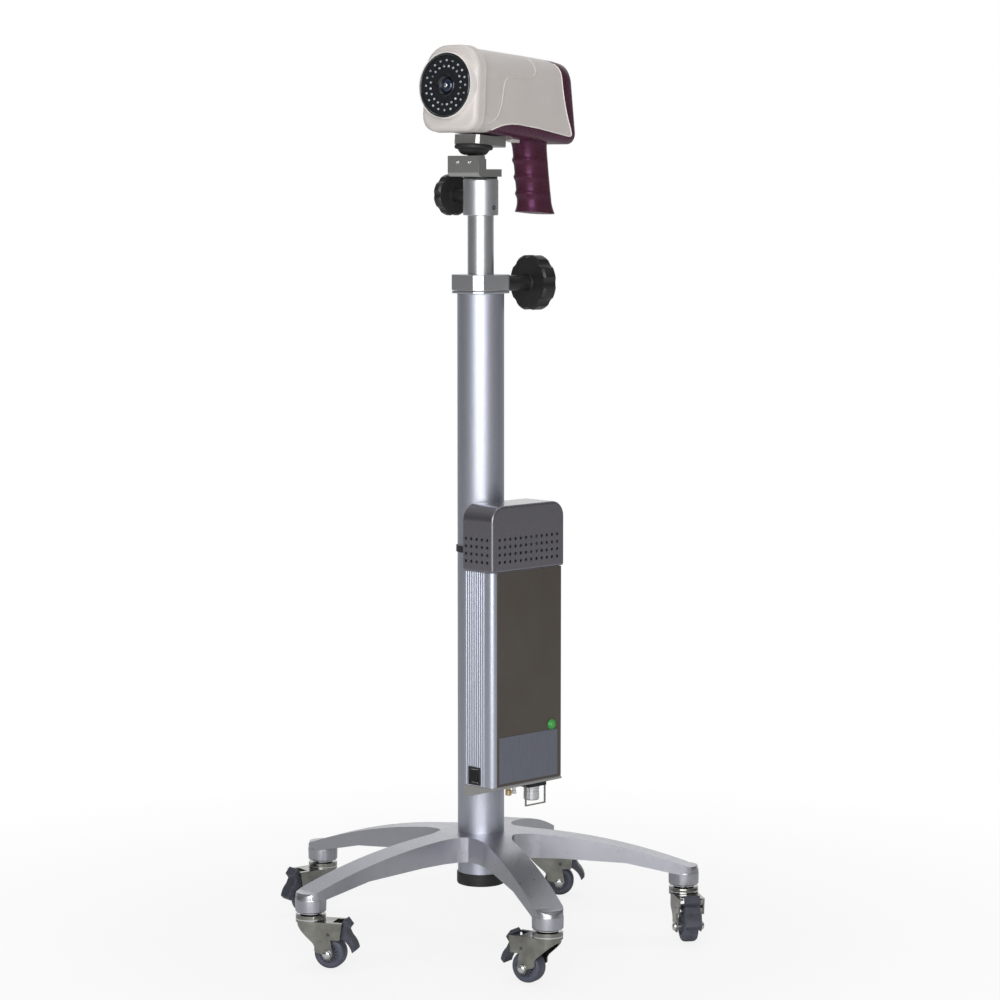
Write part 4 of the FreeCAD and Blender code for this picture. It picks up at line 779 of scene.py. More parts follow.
def model_base():
    """The cast five-leg base and the sleeves on its leg tips."""
    edge = bpy.context.scene.stand_sizes.casting_edge / MM
    carried("star_base", 0.05)
    close_slivers(0.2)
    round_edges(edge * MM, 4, 50)
    close_slivers(0.4)
    smooth(30)
    settle("cast_star_base", STAND, "cast", "star_base")
    profile = [(17, 70.5), (18.5, 70.5), (19.4, 71.6), (19.7, 85.5), (19.0, 87.6), (17, 88.6)]
    sleeves = []
    for number in CASTORS:
        turned(profile, 72, closed=True)
        move_mesh(castor_place(number))
        sleeves.append(bpy.context.object)
    joined(sleeves)
    smooth(35)
    settle("leg_tip_sleeves", STAND, "cast", body="stand")


FORK_RELIEF = [(-40, -10), (9.9, -10), (9.9, 29.5), (7.5, 33.6), (-15.4, 54), (-40, 54)]


def castor_wheel():
    """One wheel with its webs, and thin black boxes in the openings between the webs, as painted shade."""
    stand = bpy.context.scene.stand_sizes
    radius = stand.wheel_radius / MM
    half = stand.wheel_width / MM / 2
    wheel = turned(
        [
            (3.2, half + 1.2),
            (6.3, half + 1.2),
            (6.5, half - 1.6),
            (11.5, half - 1.6),
            (12.3, half - 0.2),
            (radius - 4.2, half),
            (radius - 2.2, half - 0.7),
            (radius - 0.7, half - 2.4),
            (radius - 0.05, half - 5),
            (radius, 0),
            (radius - 0.05, 5 - half),
            (radius - 0.7, 2.4 - half),
            (radius - 2.2, 0.7 - half),
            (radius - 4.2, -half),
            (12.3, 0.2 - half),
            (11.5, 1.6 - half),
            (6.5, 1.6 - half),
            (6.3, -half - 1.2),
            (3.2, -half - 1.2),
        ],
        64,
        closed=True,
    )
    smooth(32)
    webs = []
    for number in range(stand.wheel_webs):
        turn = 360 * number / stand.wheel_webs
        block((6.0, -0.75, 1.2 - half), (12.0, 0.75, half - 1.2))
        move_mesh(place(yaw=turn))
        webs.append(bpy.context.object)
    wheel = joined([wheel] + webs)
    # Thin black boxes on the floor of each opening between the webs: painted shade.
    slots = []
    for number in range(stand.wheel_webs):
        turn = 360 * (number + 0.5) / stand.wheel_webs
        for low, high in ((half - 1.7, half - 1.3), (1.3 - half, 1.7 - half)):
            block((7.6, -0.95, low), (10.6, 0.95, high))
            move_mesh(place(yaw=turn))
            slots.append(bpy.context.object)
    slots = joined(slots)
    return wheel, slots


def model_castor(number, wheel, slots):
    """Wheel, fork, pedal, axle bolt and swivel cup of one castor."""
    where = castor_place(number)
    across = where @ place(x=26.6, z=20.0, roll=90)
    rolls = BODY_OF[f"caster_wheel_{number}"]
    swivels = BODY_OF[f"caster_fork_{number}"]
    copy_of(wheel)
    settle(f"castor_tyre_{number}", across, "tyre", f"caster_wheel_{number}")
    fork = carried(f"caster_fork_{number}")
    relief = drawn(FORK_RELIEF, 80, -40)
    move_mesh(where @ place(roll=90))
    cut_by(fork, relief)
    round_edges(0.7 * MM, 3, 40)
    smooth(38)
    settle(f"castor_fork_{number}", STAND, "zinc", f"caster_fork_{number}")
    # Black boxes in the wheel's openings: painted shade.
    copy_of(slots)
    settle(f"castor_slots_{number}", across, "black", body=rolls)
    dress(f"caster_pedal_{number}", "pedal", 1.0, 3, 30, 38, f"castor_pedal_{number}")
    bolt = turned([(4.2, 16.9), (5.4, 17.2), (5.4, 18.3), (4.9, 19.6), (3.4, 20.6), (1.6, 20.9)], 24)
    other = copy_of(bolt)
    move_mesh(place(roll=180))
    shank = turned([(2.9, -17), (2.9, 17)], 24)
    joined([bolt, other, shank])
    smooth(40)
    settle(f"castor_bolt_{number}", across, "bright", f"caster_axle_{number}")
    turned(
        [
            (13.4, 60.1),
            (18.4, 60.1),
            (19.2, 61.0),
            (19.2, 62.2),
            (18.6, 63.0),
            (17.6, 63.4),
            (18.2, 64.2),
            (18.0, 65.8),
            (16.8, 66.8),
            (14.0, 67.2),
            (7.0, 67.2),
        ],
        64,
    )
    smooth(30)
    settle(f"castor_swivel_cup_{number}", where, "bright", body=swivels)


def model_stems():
    """Washer and shank of every castor stem."""
    stems = []
    for number in CASTORS:
        washer = turned(
            [
                (5.5, 67.7),
                (13.4, 67.7),
                (14.6, 68.3),
                (14.6, 69.2),
                (13.8, 69.8),
                (10.5, 70.4),
                (5.5, 70.4),
            ],
            48,
        )
        move_mesh(castor_place(number))
        shank = turned([(5.4, 58.5), (5.4, 88), (4.6, 89)], 32)
        move_mesh(castor_place(number))
        stems += [washer, shank]
    joined(stems)
    smooth(35)
    settle("castor_stem_turnings", STAND, "bright", "caster_stems")


def model_castors():
    """All five castors and their stems."""
    wheel, slots = castor_wheel()
    for number in CASTORS:
        model_castor(number, wheel, slots)
    bpy.data.objects.remove(wheel)
    bpy.data.objects.remove(slots)
    model_stems()


# Head


def head_loop(at, half, low, high, low_round, high_round, lean, steps):
    """A rounded outline across the lens axis, added to the mesh being edited; local X is up."""
    centre = ((low + high) / 2 * MM, 0, -at * MM)
    bpy.ops.mesh.primitive_plane_add(size=1, location=centre)
    span = ((high - low) * MM, 2 * half * MM, 1)
    bpy.ops.transform.resize(value=span, center_override=centre)
    form = bpy.context.object
    for radius, upper in ((low_round, False), (high_round, True)):
        bpy.ops.mesh.select_mode(type="VERT")
        shape = bmesh.from_edit_mesh(form.data)
        shape.verts.ensure_lookup_table()
        level = -at * MM
        for vert in shape.verts:
            near = abs(vert.co.z - level) < SAME and len(vert.link_edges) == 2
            side = (vert.co.x > centre[0]) == upper
            corner = abs(abs(vert.co.y) - half * MM) < SAME
            edge_at = abs(vert.co.x - (high if upper else low) * MM) < SAME
            vert.select_set(near and side and corner and edge_at)
        shape.select_flush_mode()
        bmesh.update_edit_mesh(form.data)
        bpy.ops.mesh.bevel(offset=radius * MM, segments=steps, affect="VERTICES")
    if lean:
        pick(lambda vert: abs(vert.co.z + at * MM) < SAME, "verts")
        bpy.ops.transform.rotate(value=-math.radians(lean), orient_axis="Y", center_override=centre)


def head_form(stations):
    """A closed skin through rounded outlines along the lens axis."""
    steps = 8
    clear()
    bpy.ops.mesh.primitive_plane_add(size=MM)
    edit()
    bpy.ops.mesh.delete(type="VERT")
    for station in stations:
        head_loop(*station, steps)
    bpy.ops.mesh.select_all(action="SELECT")
    bpy.ops.mesh.delete(type="ONLY_FACE")
    bpy.ops.mesh.select_mode(type="EDGE")
    bpy.ops.mesh.select_all(action="SELECT")
    bpy.ops.mesh.bridge_edge_loops(type="SINGLE")
    for hand in (-1, 1):
        pick(lambda edge: edge.is_boundary and hand * middle(edge).z > 0, "edges")
        bpy.ops.mesh.edge_face_add()
    tidy_mesh()
    bpy.ops.object.mode_set(mode="OBJECT")
    return bpy.context.object


def head_stations():
    """The head's outlines from the lens face to the rounded back."""
    head = bpy.context.scene.head_sizes
    half = head.hood_half / MM
    back = head.body_half / MM
    edge = head.hood_edge / MM
    low, high = 34.6, 143.3
    low_round, high_round = 20, 34
    stations = []
    for turn in (90, 67, 45, 22, 0):
        angle = math.radians(turn)
        inset = edge * (1 - math.cos(angle))
        at = HOOD_FRONT - edge * (1 - math.sin(angle))
        rounds = (low_round - inset / 2, high_round - inset / 2)
        stations.append((at, half - inset, low + inset, high - inset, *rounds, 0))
    hood_step = (
        (41.5, half, low, high),
        (39.6, half + 0.6, 34.2, 143.8),
        (37.8, half + 0.6, 34.2, 143.8),
        (36.2, half - 1.2, 35.6, 142.2),
        (34.6, half - 2.1, 36.4, 141.5),
    )
    for outline in hood_step:
        stations.append((*outline, low_round, high_round, 0))
    body_half = half - 1.9
    body_start, body_long = 31.0, 176.0
    for share in (0.06, 0.25, 0.5, 0.72, 0.86, 1.0):
        stations.append(
            (
                body_start - body_long * share,
                body_half + (back - body_half) * share,
                36.4 - 0.8 * share,
                141.5 + 1.5 * share,
                low_round - 6 * share,
                high_round - 12 * share,
                BACK_LEAN * max(0.0, share - 0.5) * 2,
            )
        )
    bulge = 12.0
    for turn in (20, 40, 60, 78, 90):
        angle = math.radians(turn)
        at = bulge - BACK_END - bulge * math.sin(angle)
        inset = 15.0 * (1 - math.cos(angle))
        stations.append((at, back - inset * 0.6, 35.6 + inset * 0.6, 143 - inset, 14, 22, BACK_LEAN))
    return stations


SEAM = [
    (17.0, 20.0),
    (14.5, 34.0),
    (9.0, 39.8),
    (0.0, 44.6),
    (-11.0, 48.2),
    (-25.0, 50.6),
    (-42.0, 51.6),
    (-87.0, 50.6),
    (-152.0, 46.6),
    (-158.0, 46.8),
    (-159.4, 49.4),
    (-156.6, 56.0),
    (-151.4, 65.0),
    (-146.6, 74.0),
    (-141.6, 85.8),
    (-137.3, 98.0),
    (-133.5, 111.0),
    (-129.6, 127.0),
    (-127.4, 132.4),
    (-122.6, 137.0),
    (-115.0, 140.6),
    (-112.6, 160.0),
]
PANEL_TRACE = [
    (-69.6, 139.0),
    (-73.0, 131.0),
    (-73.5, 122.0),
    (-68.0, 114.5),
    (-57.0, 112.0),
    (-22.0, 108.0),
    (-12.0, 106.6),
    (-6.5, 102.0),
    (-4.0, 93.0),
    (-1.0, 72.0),
    (5.0, 58.0),
    (14.0, 49.5),
    (27.0, 44.7),
]


def side_bead(guide, points, size, sunk, finish, name):
    """A fine bead along both sides of the head, laid on the guide form."""
    steps = 5
    fine = []
    for (x, z), (next_x, next_z) in zip(points, points[1:]):
        for step in range(steps):
            share = step / steps
            fine.append((x + (next_x - x) * share, z + (next_z - z) * share))
    fine.append(points[-1])
    outside = 120 * MM
    bpy.context.view_layer.update()
    made = []
    for hand in (-1, 1):
        clear()
        data = bpy.data.curves.new(name, "CURVE")
        data.dimensions = "3D"
        data.bevel_depth = size * MM
        data.bevel_resolution = 3
        data.use_fill_caps = True
        line = data.splines.new("NURBS")
        spots = []
        for x, z in fine:
            start = Vector((x * MM, hand * outside, z * MM))
            found, spot, normal, _ = guide.ray_cast(start, Vector((0, -hand, 0)))
            if found:
                spots.append(spot - normal * sunk * size * MM)
        line.points.add(len(spots) - 1)
        for point, spot in zip(line.points, spots):
            point.co = (*spot, 1)
        line.order_u = 3
        line.use_endpoint_u = True
        form = bpy.data.objects.new(name, data)
        bpy.context.scene.collection.objects.link(form)
        form.select_set(True)
        bpy.context.view_layer.objects.active = form
        bpy.ops.object.convert(target="MESH")
        made.append(bpy.context.object)
    joined(made)
    smooth(50, False)
    settle(name, HEAD, finish, body="camera_head")


def model_head():
    """The cream front shell and the maroon back shell, parted along their seam."""
    gap = bpy.context.scene.head_sizes.seam_gap
    whole = head_form(head_stations())
    move_mesh(place(pitch=-90))
    rear = copy_of(whole)
    guide = copy_of(whole)
    front_tool = drawn(SEAM + [(80, 160), (80, 20)], 140, -70)
    move_mesh(place(roll=90))
    rear_tool = drawn(SEAM + [(-220, 160), (-220, 20)], 140, -70)
    move_mesh(place(roll=90))
    cut_by(whole, front_tool, "INTERSECT")
    round_edges(gap, 3, 40)
    smooth(35)
    settle("cream_shell", HEAD, "cream", "front_housing")
    rim = [(42.2, 50.0), (42.0, 64.0), (41.5, 64.9), (40.7, 64.9), (40.3, 64.1), (40.3, 50.0)]
    turned(rim, 96, closed=True)
    move_mesh(place(z=LENS_HEIGHT, pitch=90))
    smooth(35)
    settle("lens_rim", HEAD, "rim", body="camera_head")
    cut_by(rear, rear_tool, "INTERSECT")
    close_slivers(0.25)
    smooth(35, False)
    settle("maroon_shell", HEAD, "maroon", "rear_housing")
    # A pale bead along the seam, as a painted highlight on the seam's edge.
    side_bead(guide, SEAM[2:-2], 0.95, 0.25, "rim", "seam_bead")
    side_bead(guide, PANEL_TRACE, 1.5, 0.5, "cream", "side_moulding_line")
    bpy.data.objects.remove(guide)


def model_grip():
    """The raked grip with its finger ridges."""
    top, total, steps = 41.0, 95.5, 40
    root, deep, half_wide = -113.0, 52.0, 18.0
    start = (root * MM, 0, top * MM)
    clear()
    bpy.ops.mesh.primitive_plane_add(size=1, location=start)
    edit()
    bpy.ops.transform.resize(value=(deep * MM, 2 * half_wide * MM, 1), center_override=start)
    bpy.ops.mesh.select_mode(type="VERT")
    bpy.ops.mesh.select_all(action="SELECT")
    bpy.ops.mesh.bevel(offset=15.5 * MM, segments=6, affect="VERTICES")
    bpy.ops.mesh.select_mode(type="FACE")
    bpy.ops.mesh.select_all(action="SELECT")
    lean = math.tan(math.radians(13))
    last = (root + deep / 2, root - deep / 2, half_wide, top)
    for number in range(1, steps + 1):
        share = number / steps
        down = total * share
        ridge = sum(math.exp(-(((share - at) / 0.032) ** 2)) for at in (0.31, 0.535, 0.755))
        flare = max(0.0, (share - 0.82) / 0.18) ** 2
        neck = math.exp(-((share / 0.09) ** 2))
        centre = root - down * lean
        front = centre + deep / 2 - 3.6 + 3.4 * ridge + 3.0 * neck + 4.5 * flare
        back = centre - deep / 2 - 1.6 * flare + 1.0 * math.sin(math.pi * share)
        half = half_wide - 0.5 + 0.5 * ridge + 3.6 * flare + 1.5 * neck
        height = top - down
        step = (((front + back) - (last[0] + last[1])) / 2 * MM, 0, (height - last[3]) * MM)
        bpy.ops.mesh.extrude_region_move(TRANSFORM_OT_translate={"value": step})
        scale = ((front - back) / (last[0] - last[1]), half / last[2], 1)
        centre_now = ((front + back) / 2 * MM, 0, height * MM)
        bpy.ops.transform.resize(value=scale, center_override=centre_now)
        last = (front, back, half, height)
    tidy_mesh()
    bpy.ops.object.mode_set(mode="OBJECT")
    round_edges(1.4 * MM, 3, 50)
    smooth(40)
    settle("grip_moulding", HEAD, "maroon", body="camera_head")


def model_trigger():
    """The trigger button in front of the grip."""
    front = -72.0
    block((-89.0, -4.8, 32.4), (front, 4.8, 38.8))
    edit()
    pick(lambda edge: abs(middle(edge).x - front * MM) < CLOSE, "edges")
    bpy.ops.mesh.bevel(offset=3.6 * MM, segments=5)
    bpy.ops.object.mode_set(mode="OBJECT")
    smooth(40)
    settle("trigger_button_cap", HEAD, "rim", "trigger")


def model_lens():
    """Bezel, lamp plate with its rings of lamps, and the lens."""
    head = bpy.context.scene.head_sizes
    rim = head.bezel_radius / MM
    turned(
        [
            (rim - 2.6, 38.0),
            (rim - 0.1, 38.0),
            (rim - 0.1, 53.6),
            (rim - 0.7, 54.9),
            (rim - 1.8, 55.4),
            (rim - 2.6, 54.8),
            (rim - 3.4, 53.3),
        ],
        96,
        closed=True,
    )
    smooth(35)
    settle("lens_bezel_ring", LENS, "lens_black", "lens_bezel")
    turned([(14, 50.2), (rim - 2.7, 50.2), (rim - 2.7, 53.0), (15.5, 52.4), (14.0, 52.4)], 96, closed=True)
    smooth(30)
    settle("lamp_plate", LENS, "lamp_plate", "led_board")
    model_lamps()
    barrel = [(13.9, 46.0), (13.9, 53.4), (13.2, 54.0), (12.4, 54.0), (11.6, 52.4), (10.2, 51.2), (9.0, 49.4)]
    turned(barrel, 72)
    smooth(35)
    settle("lens_tube", LENS, "lens_black", body="camera_head")
    turned([(9.2, 49.6), (9.0, 50.6), (7.4, 51.7), (5.2, 52.5), (2.8, 53.0), (0.8, 53.15)], 48)
    smooth(60, False)
    settle("lens_front_glass", LENS, "glass", body="camera_head")
    # A small bright metal dome at the centre of the lens: a painted highlight on the glass.
    turned([(3.2, 52.6), (3.1, 53.4), (2.5, 54.0), (1.4, 54.4), (0.4, 54.5)], 32)
    smooth(60, False)
    settle("lens_inner_element", LENS, "bright", body="camera_head")


def model_lamps():
    """Two rings of lamps, each lamp in its cup."""
    head = bpy.context.scene.head_sizes
    size = head.lamp_radius / MM
    lamps, cups = [], []
    for ring, shift in ((31.2, 0.0), (24.0, 0.5)):
        for number in range(head.lamp_count):
            turn = math.radians((number + shift) * 360 / head.lamp_count)
            spot = (ring * MM * math.cos(turn), ring * MM * math.sin(turn), 52.9 * MM)
            dome = size * 0.72 * MM
            clear()
            bpy.ops.mesh.primitive_uv_sphere_add(segments=12, ring_count=8, radius=dome, location=spot)
            lamps.append(bpy.context.object)
            clear()
            bpy.ops.mesh.primitive_torus_add(
                location=spot,
                major_segments=14,
                minor_segments=6,
                major_radius=size * MM,
                minor_radius=0.28 * MM,
            )
            cups.append(bpy.context.object)
    joined(lamps)
    smooth(60, False)
    settle("lamp_domes", LENS, "lamp", body="camera_head")
    joined(cups)
    smooth(60, False)
    settle("lamp_cups", LENS, "lens_black", body="camera_head")


def model_mount():
    """Angle bracket, its screws, the tilt bowl and disc, and the quick plate."""
    dress("angle_bracket", "steel", 0.7, 3, 40, 38, "angle_bracket_finish")
    screws = []
    for hand in (-1, 1):
        made = turned([(2.7, 30), (2.7, 35.9), (2.3, 36.2), (1.5, 36.2), (1.3, 35.0)], 24)
        move_mesh(place(y=hand * 9.5, z=1003.5, pitch=90))
        screws.append(made)
    joined(screws)
    smooth(40)
    settle("bracket_screw_heads", PAN, "bright", "bracket_screws")
    profile = [(6, 9.4), (13.2, 9.4), (15.6, 10.3), (18.0, 12.4), (19.6, 15.0), (20.0, 15.9), (10, 15.9)]
    bowl = turned(profile, 72)
    half = 5.5
    tongue = block((-half, -4.9, 0), (half, 4.9, 10))
    edit()
    pick(lambda edge: Vector((abs(middle(edge).x) - half * MM, middle(edge).z)).length < CLOSE, "edges")
    bpy.ops.mesh.bevel(offset=5.0 * MM, segments=5)
    bpy.ops.object.mode_set(mode="OBJECT")
    joined([bowl, tongue])
    smooth(35)
    settle("tilt_bowl", HEAD, "black", "tilt_pedestal")
    turned(
        [
            (12, 16.0),
            (20.5, 16.0),
            (23.4, 16.7),
            (24.4, 18.2),
            (24.5, 20.0),
            (23.6, 21.7),
            (22.3, 22.2),
            (12, 22.2),
        ],
        72,
    )
    smooth(35)
    settle("tilt_disc_rubber", HEAD, "black", "tilt_disc")
    dress("quick_plate", "steel", 0.6, 3, 30, 38, "quick_plate_finish")


# Control box


def model_case():
    """Extrusion, panel, base cap and rail."""
    sizes = bpy.context.scene.case_sizes
    wide = sizes.width / MM / 2
    bend = 8.0
    side = [(wide, CASE_BACK - 2.0), (wide, CASE_BACK - 4.6)]
    for number in range(9):
        groove = CASE_BACK - 5.0 - 3.9 * number
        floor = wide - 0.9
        side += [(wide, groove), (floor, groove - 0.7), (floor, groove - 1.5), (wide, groove - 2.2)]
    for turn in range(0, 91, 10):
        angle = math.radians(turn)
        side.append((wide - bend + bend * math.cos(angle), CASE_FRONT + bend - bend * math.sin(angle)))
    outline = [(2.0 - wide, CASE_BACK), (wide - 2.0, CASE_BACK)] + side + [(-x, y) for x, y in reversed(side)]
    drawn(outline, 274.0, 214.8)
    smooth(28)
    settle("case_extrusion", CASE, "extrusion", "case_body")
    block((-55.5, -84.2, 215.2), (61.8, -82.4, 488.6))
    round_edges(0.6 * MM, 3, 40)
    smooth(35)
    settle("case_panel", CASE, "panel", "front_panel")
    dress("bottom_cap", "steel", 0.6, 2, 40, 32, "case_base")
    dress("case_rail", "extrusion", 0.4, 2, 40, 32, "case_rail_finish")


def vent_arch():
    """Outline of the vent cap, with its two upper corners rounded."""
    half = bpy.context.scene.case_sizes.width / MM / 2 + 2.0
    low, top, corner = 489.0, 573.0, 20.0
    arch = [(half, low), (half, top - corner)]
    for turn in range(10, 90, 10):
        angle = math.radians(turn)
        arch.append((half - corner + corner * math.cos(angle), top - corner + corner * math.sin(angle)))
    arch.append((half - corner, top))
    return arch + [(-x, z) for x, z in reversed(arch)]


def vent_hole(spot, depth, turn):
    """The tool that cuts one vent hole."""
    clear()
    bpy.ops.mesh.primitive_cylinder_add(
        vertices=14,
        radius=bpy.context.scene.case_sizes.hole_radius,
        depth=depth * MM,
        location=Vector(spot) * MM,
        rotation=turn,
    )
    return bpy.context.object


def model_vent_cap():
    """The hollow vent cap with its rows of holes."""
    sizes = bpy.context.scene.case_sizes
    arch = vent_arch()
    deep = CASE_BACK - CASE_FRONT
    shell = drawn(arch, 2.0 + deep, 0)
    move_mesh(place(y=CASE_BACK, roll=90))
    round_edges(3.2 * MM, 5, 50)
    base = 486
    inside = [(x * 0.96, base + (z - base) * 0.965) for x, z in arch]
    hollow = drawn(inside, deep - 2.5, 0)
    move_mesh(place(y=CASE_BACK - 2.3, roll=90))
    cut_by(shell, hollow)
    pitch = sizes.hole_pitch / MM
    through = 1.5 * (sizes.width / MM + 4.0)
    upright = (math.pi / 2, 0, 0)
    sideways = (0, math.pi / 2, 0)
    tools = []
    for row in range(sizes.hole_rows):
        z = 502.0 + row * pitch
        for number in range(sizes.hole_columns):
            x = (number - (sizes.hole_columns - 1) / 2) * pitch
            tools.append(vent_hole((x, CASE_FRONT - 2, z), 10, upright))
        for number in range(sizes.side_columns):
            y = (CASE_FRONT + CASE_BACK) / 2 + (number - (sizes.side_columns - 1) / 2) * pitch
            tools.append(vent_hole((0, y, z), through, sideways))
    cut_by(shell, joined(tools))
    smooth(32)
    settle("vent_cap_shell", CASE, "vents", "vent_cap")


def model_plates():
    """The bare rating plate and the small plain disc on the panel."""
    sizes = bpy.context.scene.case_sizes
    half = sizes.plate_width / MM / 2
    tall = sizes.plate_height / MM
    centre, low = 1.5, 219.0
    block((centre - half, -84.7, low), (centre + half, -84.1, low + tall))
    round_edges(0.5 * MM, 2, 40)
    smooth(35)
    settle("bare_rating_plate", CASE, "plate", body="stand")
    turned([(6.6, 0), (6.6, 1.6), (6.0, 2.4), (5.4, 2.1), (4.7, 3.6), (3.4, 4.8), (1.7, 5.4)], 40)
    move_mesh(place(x=43.6, y=-84.1, z=285.0, roll=90))
    smooth(35)
    settle("plain_green_disc", CASE, "disc", body="stand")


def model_fittings():
    """Switch, inlet, socket, bail and ground posts."""
    dress("switch_bezel", "knob", 0.3, 2, 40, 35, "switch_frame")
    dress("switch_rocker", "knob", 0.4, 2, 30, 35, "switch_rocker_cap")
    dress("mains_inlet", "black", 0.8, 2, 40, 35, "mains_inlet_body")
    across = CASE @ place(x=36.0, y=-56.0)
    turned(
        [
            (10.4, 202.6),
            (10.4, 200.4),
            (10.2, 200.2),
            (10.2, 197.0),
            (9.6, 196.6),
            (9.6, 195.6),
            (10.2, 195.2),
            (10.2, 185.6),
            (9.2, 184.4),
            (6.4, 184.4),
            (6.4, 193.0),
            (1.0, 193.0),
        ],
        48,
    )
    smooth(35)
    settle("camera_socket_turning", across, "bright", "camera_socket")
    dress("cord_bail", "zinc", 0.35, 2, 40, 45, "bail_wire")
    turned([(2.2, 198.9), (3.9, 199.6), (3.9, 206.0), (2.6, 206.6), (2.6, 214.5)], 32)
    move_mesh(place(x=-20.5, y=-70.0))
    smooth(35)
    settle("ground_post_brass", CASE, "brass", "ground_post")
    turned([(2.0, 199.8), (3.2, 200.2), (3.2, 204.0), (2.4, 204.4), (2.4, 214.5)], 6)
    move_mesh(place(x=-10.5, y=-70.0))
    smooth(35)
    settle("ground_terminal_nut", CASE, "bright", body="stand")


# Stage


def make_floor():
    """A pale floor that glows to the camera alone, and less so round the stand, where its shadow stays."""
    clear()
    bpy.ops.mesh.primitive_plane_add(size=1, location=(0, 4, 0))
    floor = bpy.context.object
    floor.scale = (40, 40, 1)
    bpy.ops.object.transform_apply(location=True, rotation=True, scale=True)
    floor.name = "studio_floor"
    made = Finish("floor", "studio_floor", bpy.context.scene.finish_colours.floor, 0.7)
    made.tint((0.8, 2), 0.995, 1.0)
    nodes, links = made.nodes, made.links
    path = nodes.new("ShaderNodeLightPath")
    glow = nodes.new("ShaderNodeEmission")
    glow.inputs["Color"].default_value = (1, 1, 1, 1)
    mixer = nodes.new("ShaderNodeMixShader")
    out = nodes["Material Output"]
    spot = nodes.new("ShaderNodeTexCoord")
    reach = nodes.new("ShaderNodeVectorMath")
    reach.operation = "LENGTH"
    fade = ranged(nodes, 0.35, 1.1, 0.84, 1.0)
    share = nodes.new("ShaderNodeMath")
    share.operation = "MULTIPLY"
    links.new(spot.outputs["Object"], reach.inputs[0])
    links.new(reach.outputs["Value"], fade.inputs["Value"])
    links.new(fade.outputs["Result"], share.inputs[1])
    links.new(path.outputs["Is Camera Ray"], share.inputs[0])
    links.new(share.outputs["Value"], mixer.inputs["Fac"])
    links.new(made.shader.outputs["BSDF"], mixer.inputs[1])
    links.new(glow.outputs["Emission"], mixer.inputs[2])
    links.new(mixer.outputs["Shader"], out.inputs["Surface"])
    floor.data.materials.append(made.material)


def make_backdrop():
    """A backdrop that is white to the camera, and lights the stand from behind and above."""
    world = bpy.data.worlds.new("studio")
    bpy.context.scene.world = world
    world.use_nodes = True
    nodes, links = world.node_tree.nodes, world.node_tree.links
    back = nodes["Background"]
    path = nodes.new("ShaderNodeLightPath")
    spot = nodes.new("ShaderNodeTexCoord")
    ways = nodes.new("ShaderNodeSeparateXYZ")
    behind = ranged(nodes, 0.55, 0.97, 0.1, 1.0)
    above = ranged(nodes, 0.2, 0.9, 0.0, 0.45)
    level, seen, more = (nodes.new("ShaderNodeMath") for _ in range(3))
    for brighter in (level, seen, more):
        brighter.operation = "MAXIMUM"
    links.new(spot.outputs["Generated"], ways.inputs["Vector"])
    links.new(ways.outputs["Y"], behind.inputs["Value"])
    links.new(ways.outputs["Z"], above.inputs["Value"])
    links.new(behind.outputs["Result"], level.inputs[0])
    links.new(above.outputs["Result"], level.inputs[1])
    links.new(path.outputs["Is Camera Ray"], seen.inputs[0])
    links.new(path.outputs["Is Transmission Ray"], seen.inputs[1])
    links.new(level.outputs["Value"], more.inputs[0])
    links.new(seen.outputs["Value"], more.inputs[1])
    links.new(more.outputs["Value"], back.inputs["Strength"])
    back.inputs["Color"].default_value = (1, 1, 1, 1)


def make_lamps():
    """A wide softbox in front and a small one above."""
    lamps = (
        ("key_softbox", (-0.3, -4.6, 1.7), (0, 0, 0.6), (4.4, 3.2), 178),
        ("top_softbox", (0.2, 0.6, 3.2), (0, 0, 0.4), (1.8, 1.8), 15),
    )
    for name, spot, aim, (wide, tall), power in lamps:
        clear()
        way = (Vector(aim) - Vector(spot)).to_track_quat("-Z", "Y").to_euler()
        bpy.ops.object.light_add(type="AREA", location=spot, rotation=way)
        lamp = bpy.context.object
        lamp.name = name
        lamp.data.shape = "RECTANGLE"
        lamp.data.size = wide
        lamp.data.size_y = tall
        lamp.data.energy = power


def make_camera():
    """The camera, set where the photograph was taken from."""
    clear()
    down, right = 5.7246, 0.344
    aim = (math.radians(90 - down), 0, math.radians(-right))
    bpy.ops.object.camera_add(location=(0, -4.103, 0.983), rotation=aim)
    camera = bpy.context.object
    camera.name = "photo_camera"
    camera.data.sensor_width = 36
    camera.data.lens = 115.51
    bpy.context.scene.camera = camera
    bpy.context.scene.view_settings.view_transform = "Standard"


def make_stage():
    """Floor, backdrop, lamps and camera."""
    make_floor()
    make_backdrop()
    make_lamps()
    make_camera()


def finish_plain_nodes():
    """Give each CAD node that stays its finish."""
    for node, finish in PLAIN_NODES.items():
        form = frame["nodes"][node]
        if not form.data.materials:
            form.data.materials.append(FINISHES[finish])
        for slot in form.material_slots:
            slot.material = FINISHES[finish]


# Operators and panel


class STAND_OT_finishes(bpy.types.Operator):
    """Make every procedural finish"""

    bl_idname = "stand.finishes"
    bl_label = "Finishes"

    def execute(self, context):
        make_finishes()
        finish_plain_nodes()
        return {"FINISHED"}


class STAND_OT_column(bpy.types.Operator):
    """Model the columns, collars, washer and strap"""

    bl_idname = "stand.column"
    bl_label = "Columns and collars"

    def execute(self, context):
        model_column()
        model_mast()
        model_set_screw()
        return {"FINISHED"}


class STAND_OT_clamp(bpy.types.Operator):
    """Model the height clamp block"""

    bl_idname = "stand.clamp"
    bl_label = "Height clamp"

    def execute(self, context):
        model_clamp()
        return {"FINISHED"}


class STAND_OT_knobs(bpy.types.Operator):
    """Model both lobed hand knobs"""

    bl_idname = "stand.knobs"
    bl_label = "Hand knobs"

    def execute(self, context):
        model_knobs()
        return {"FINISHED"}


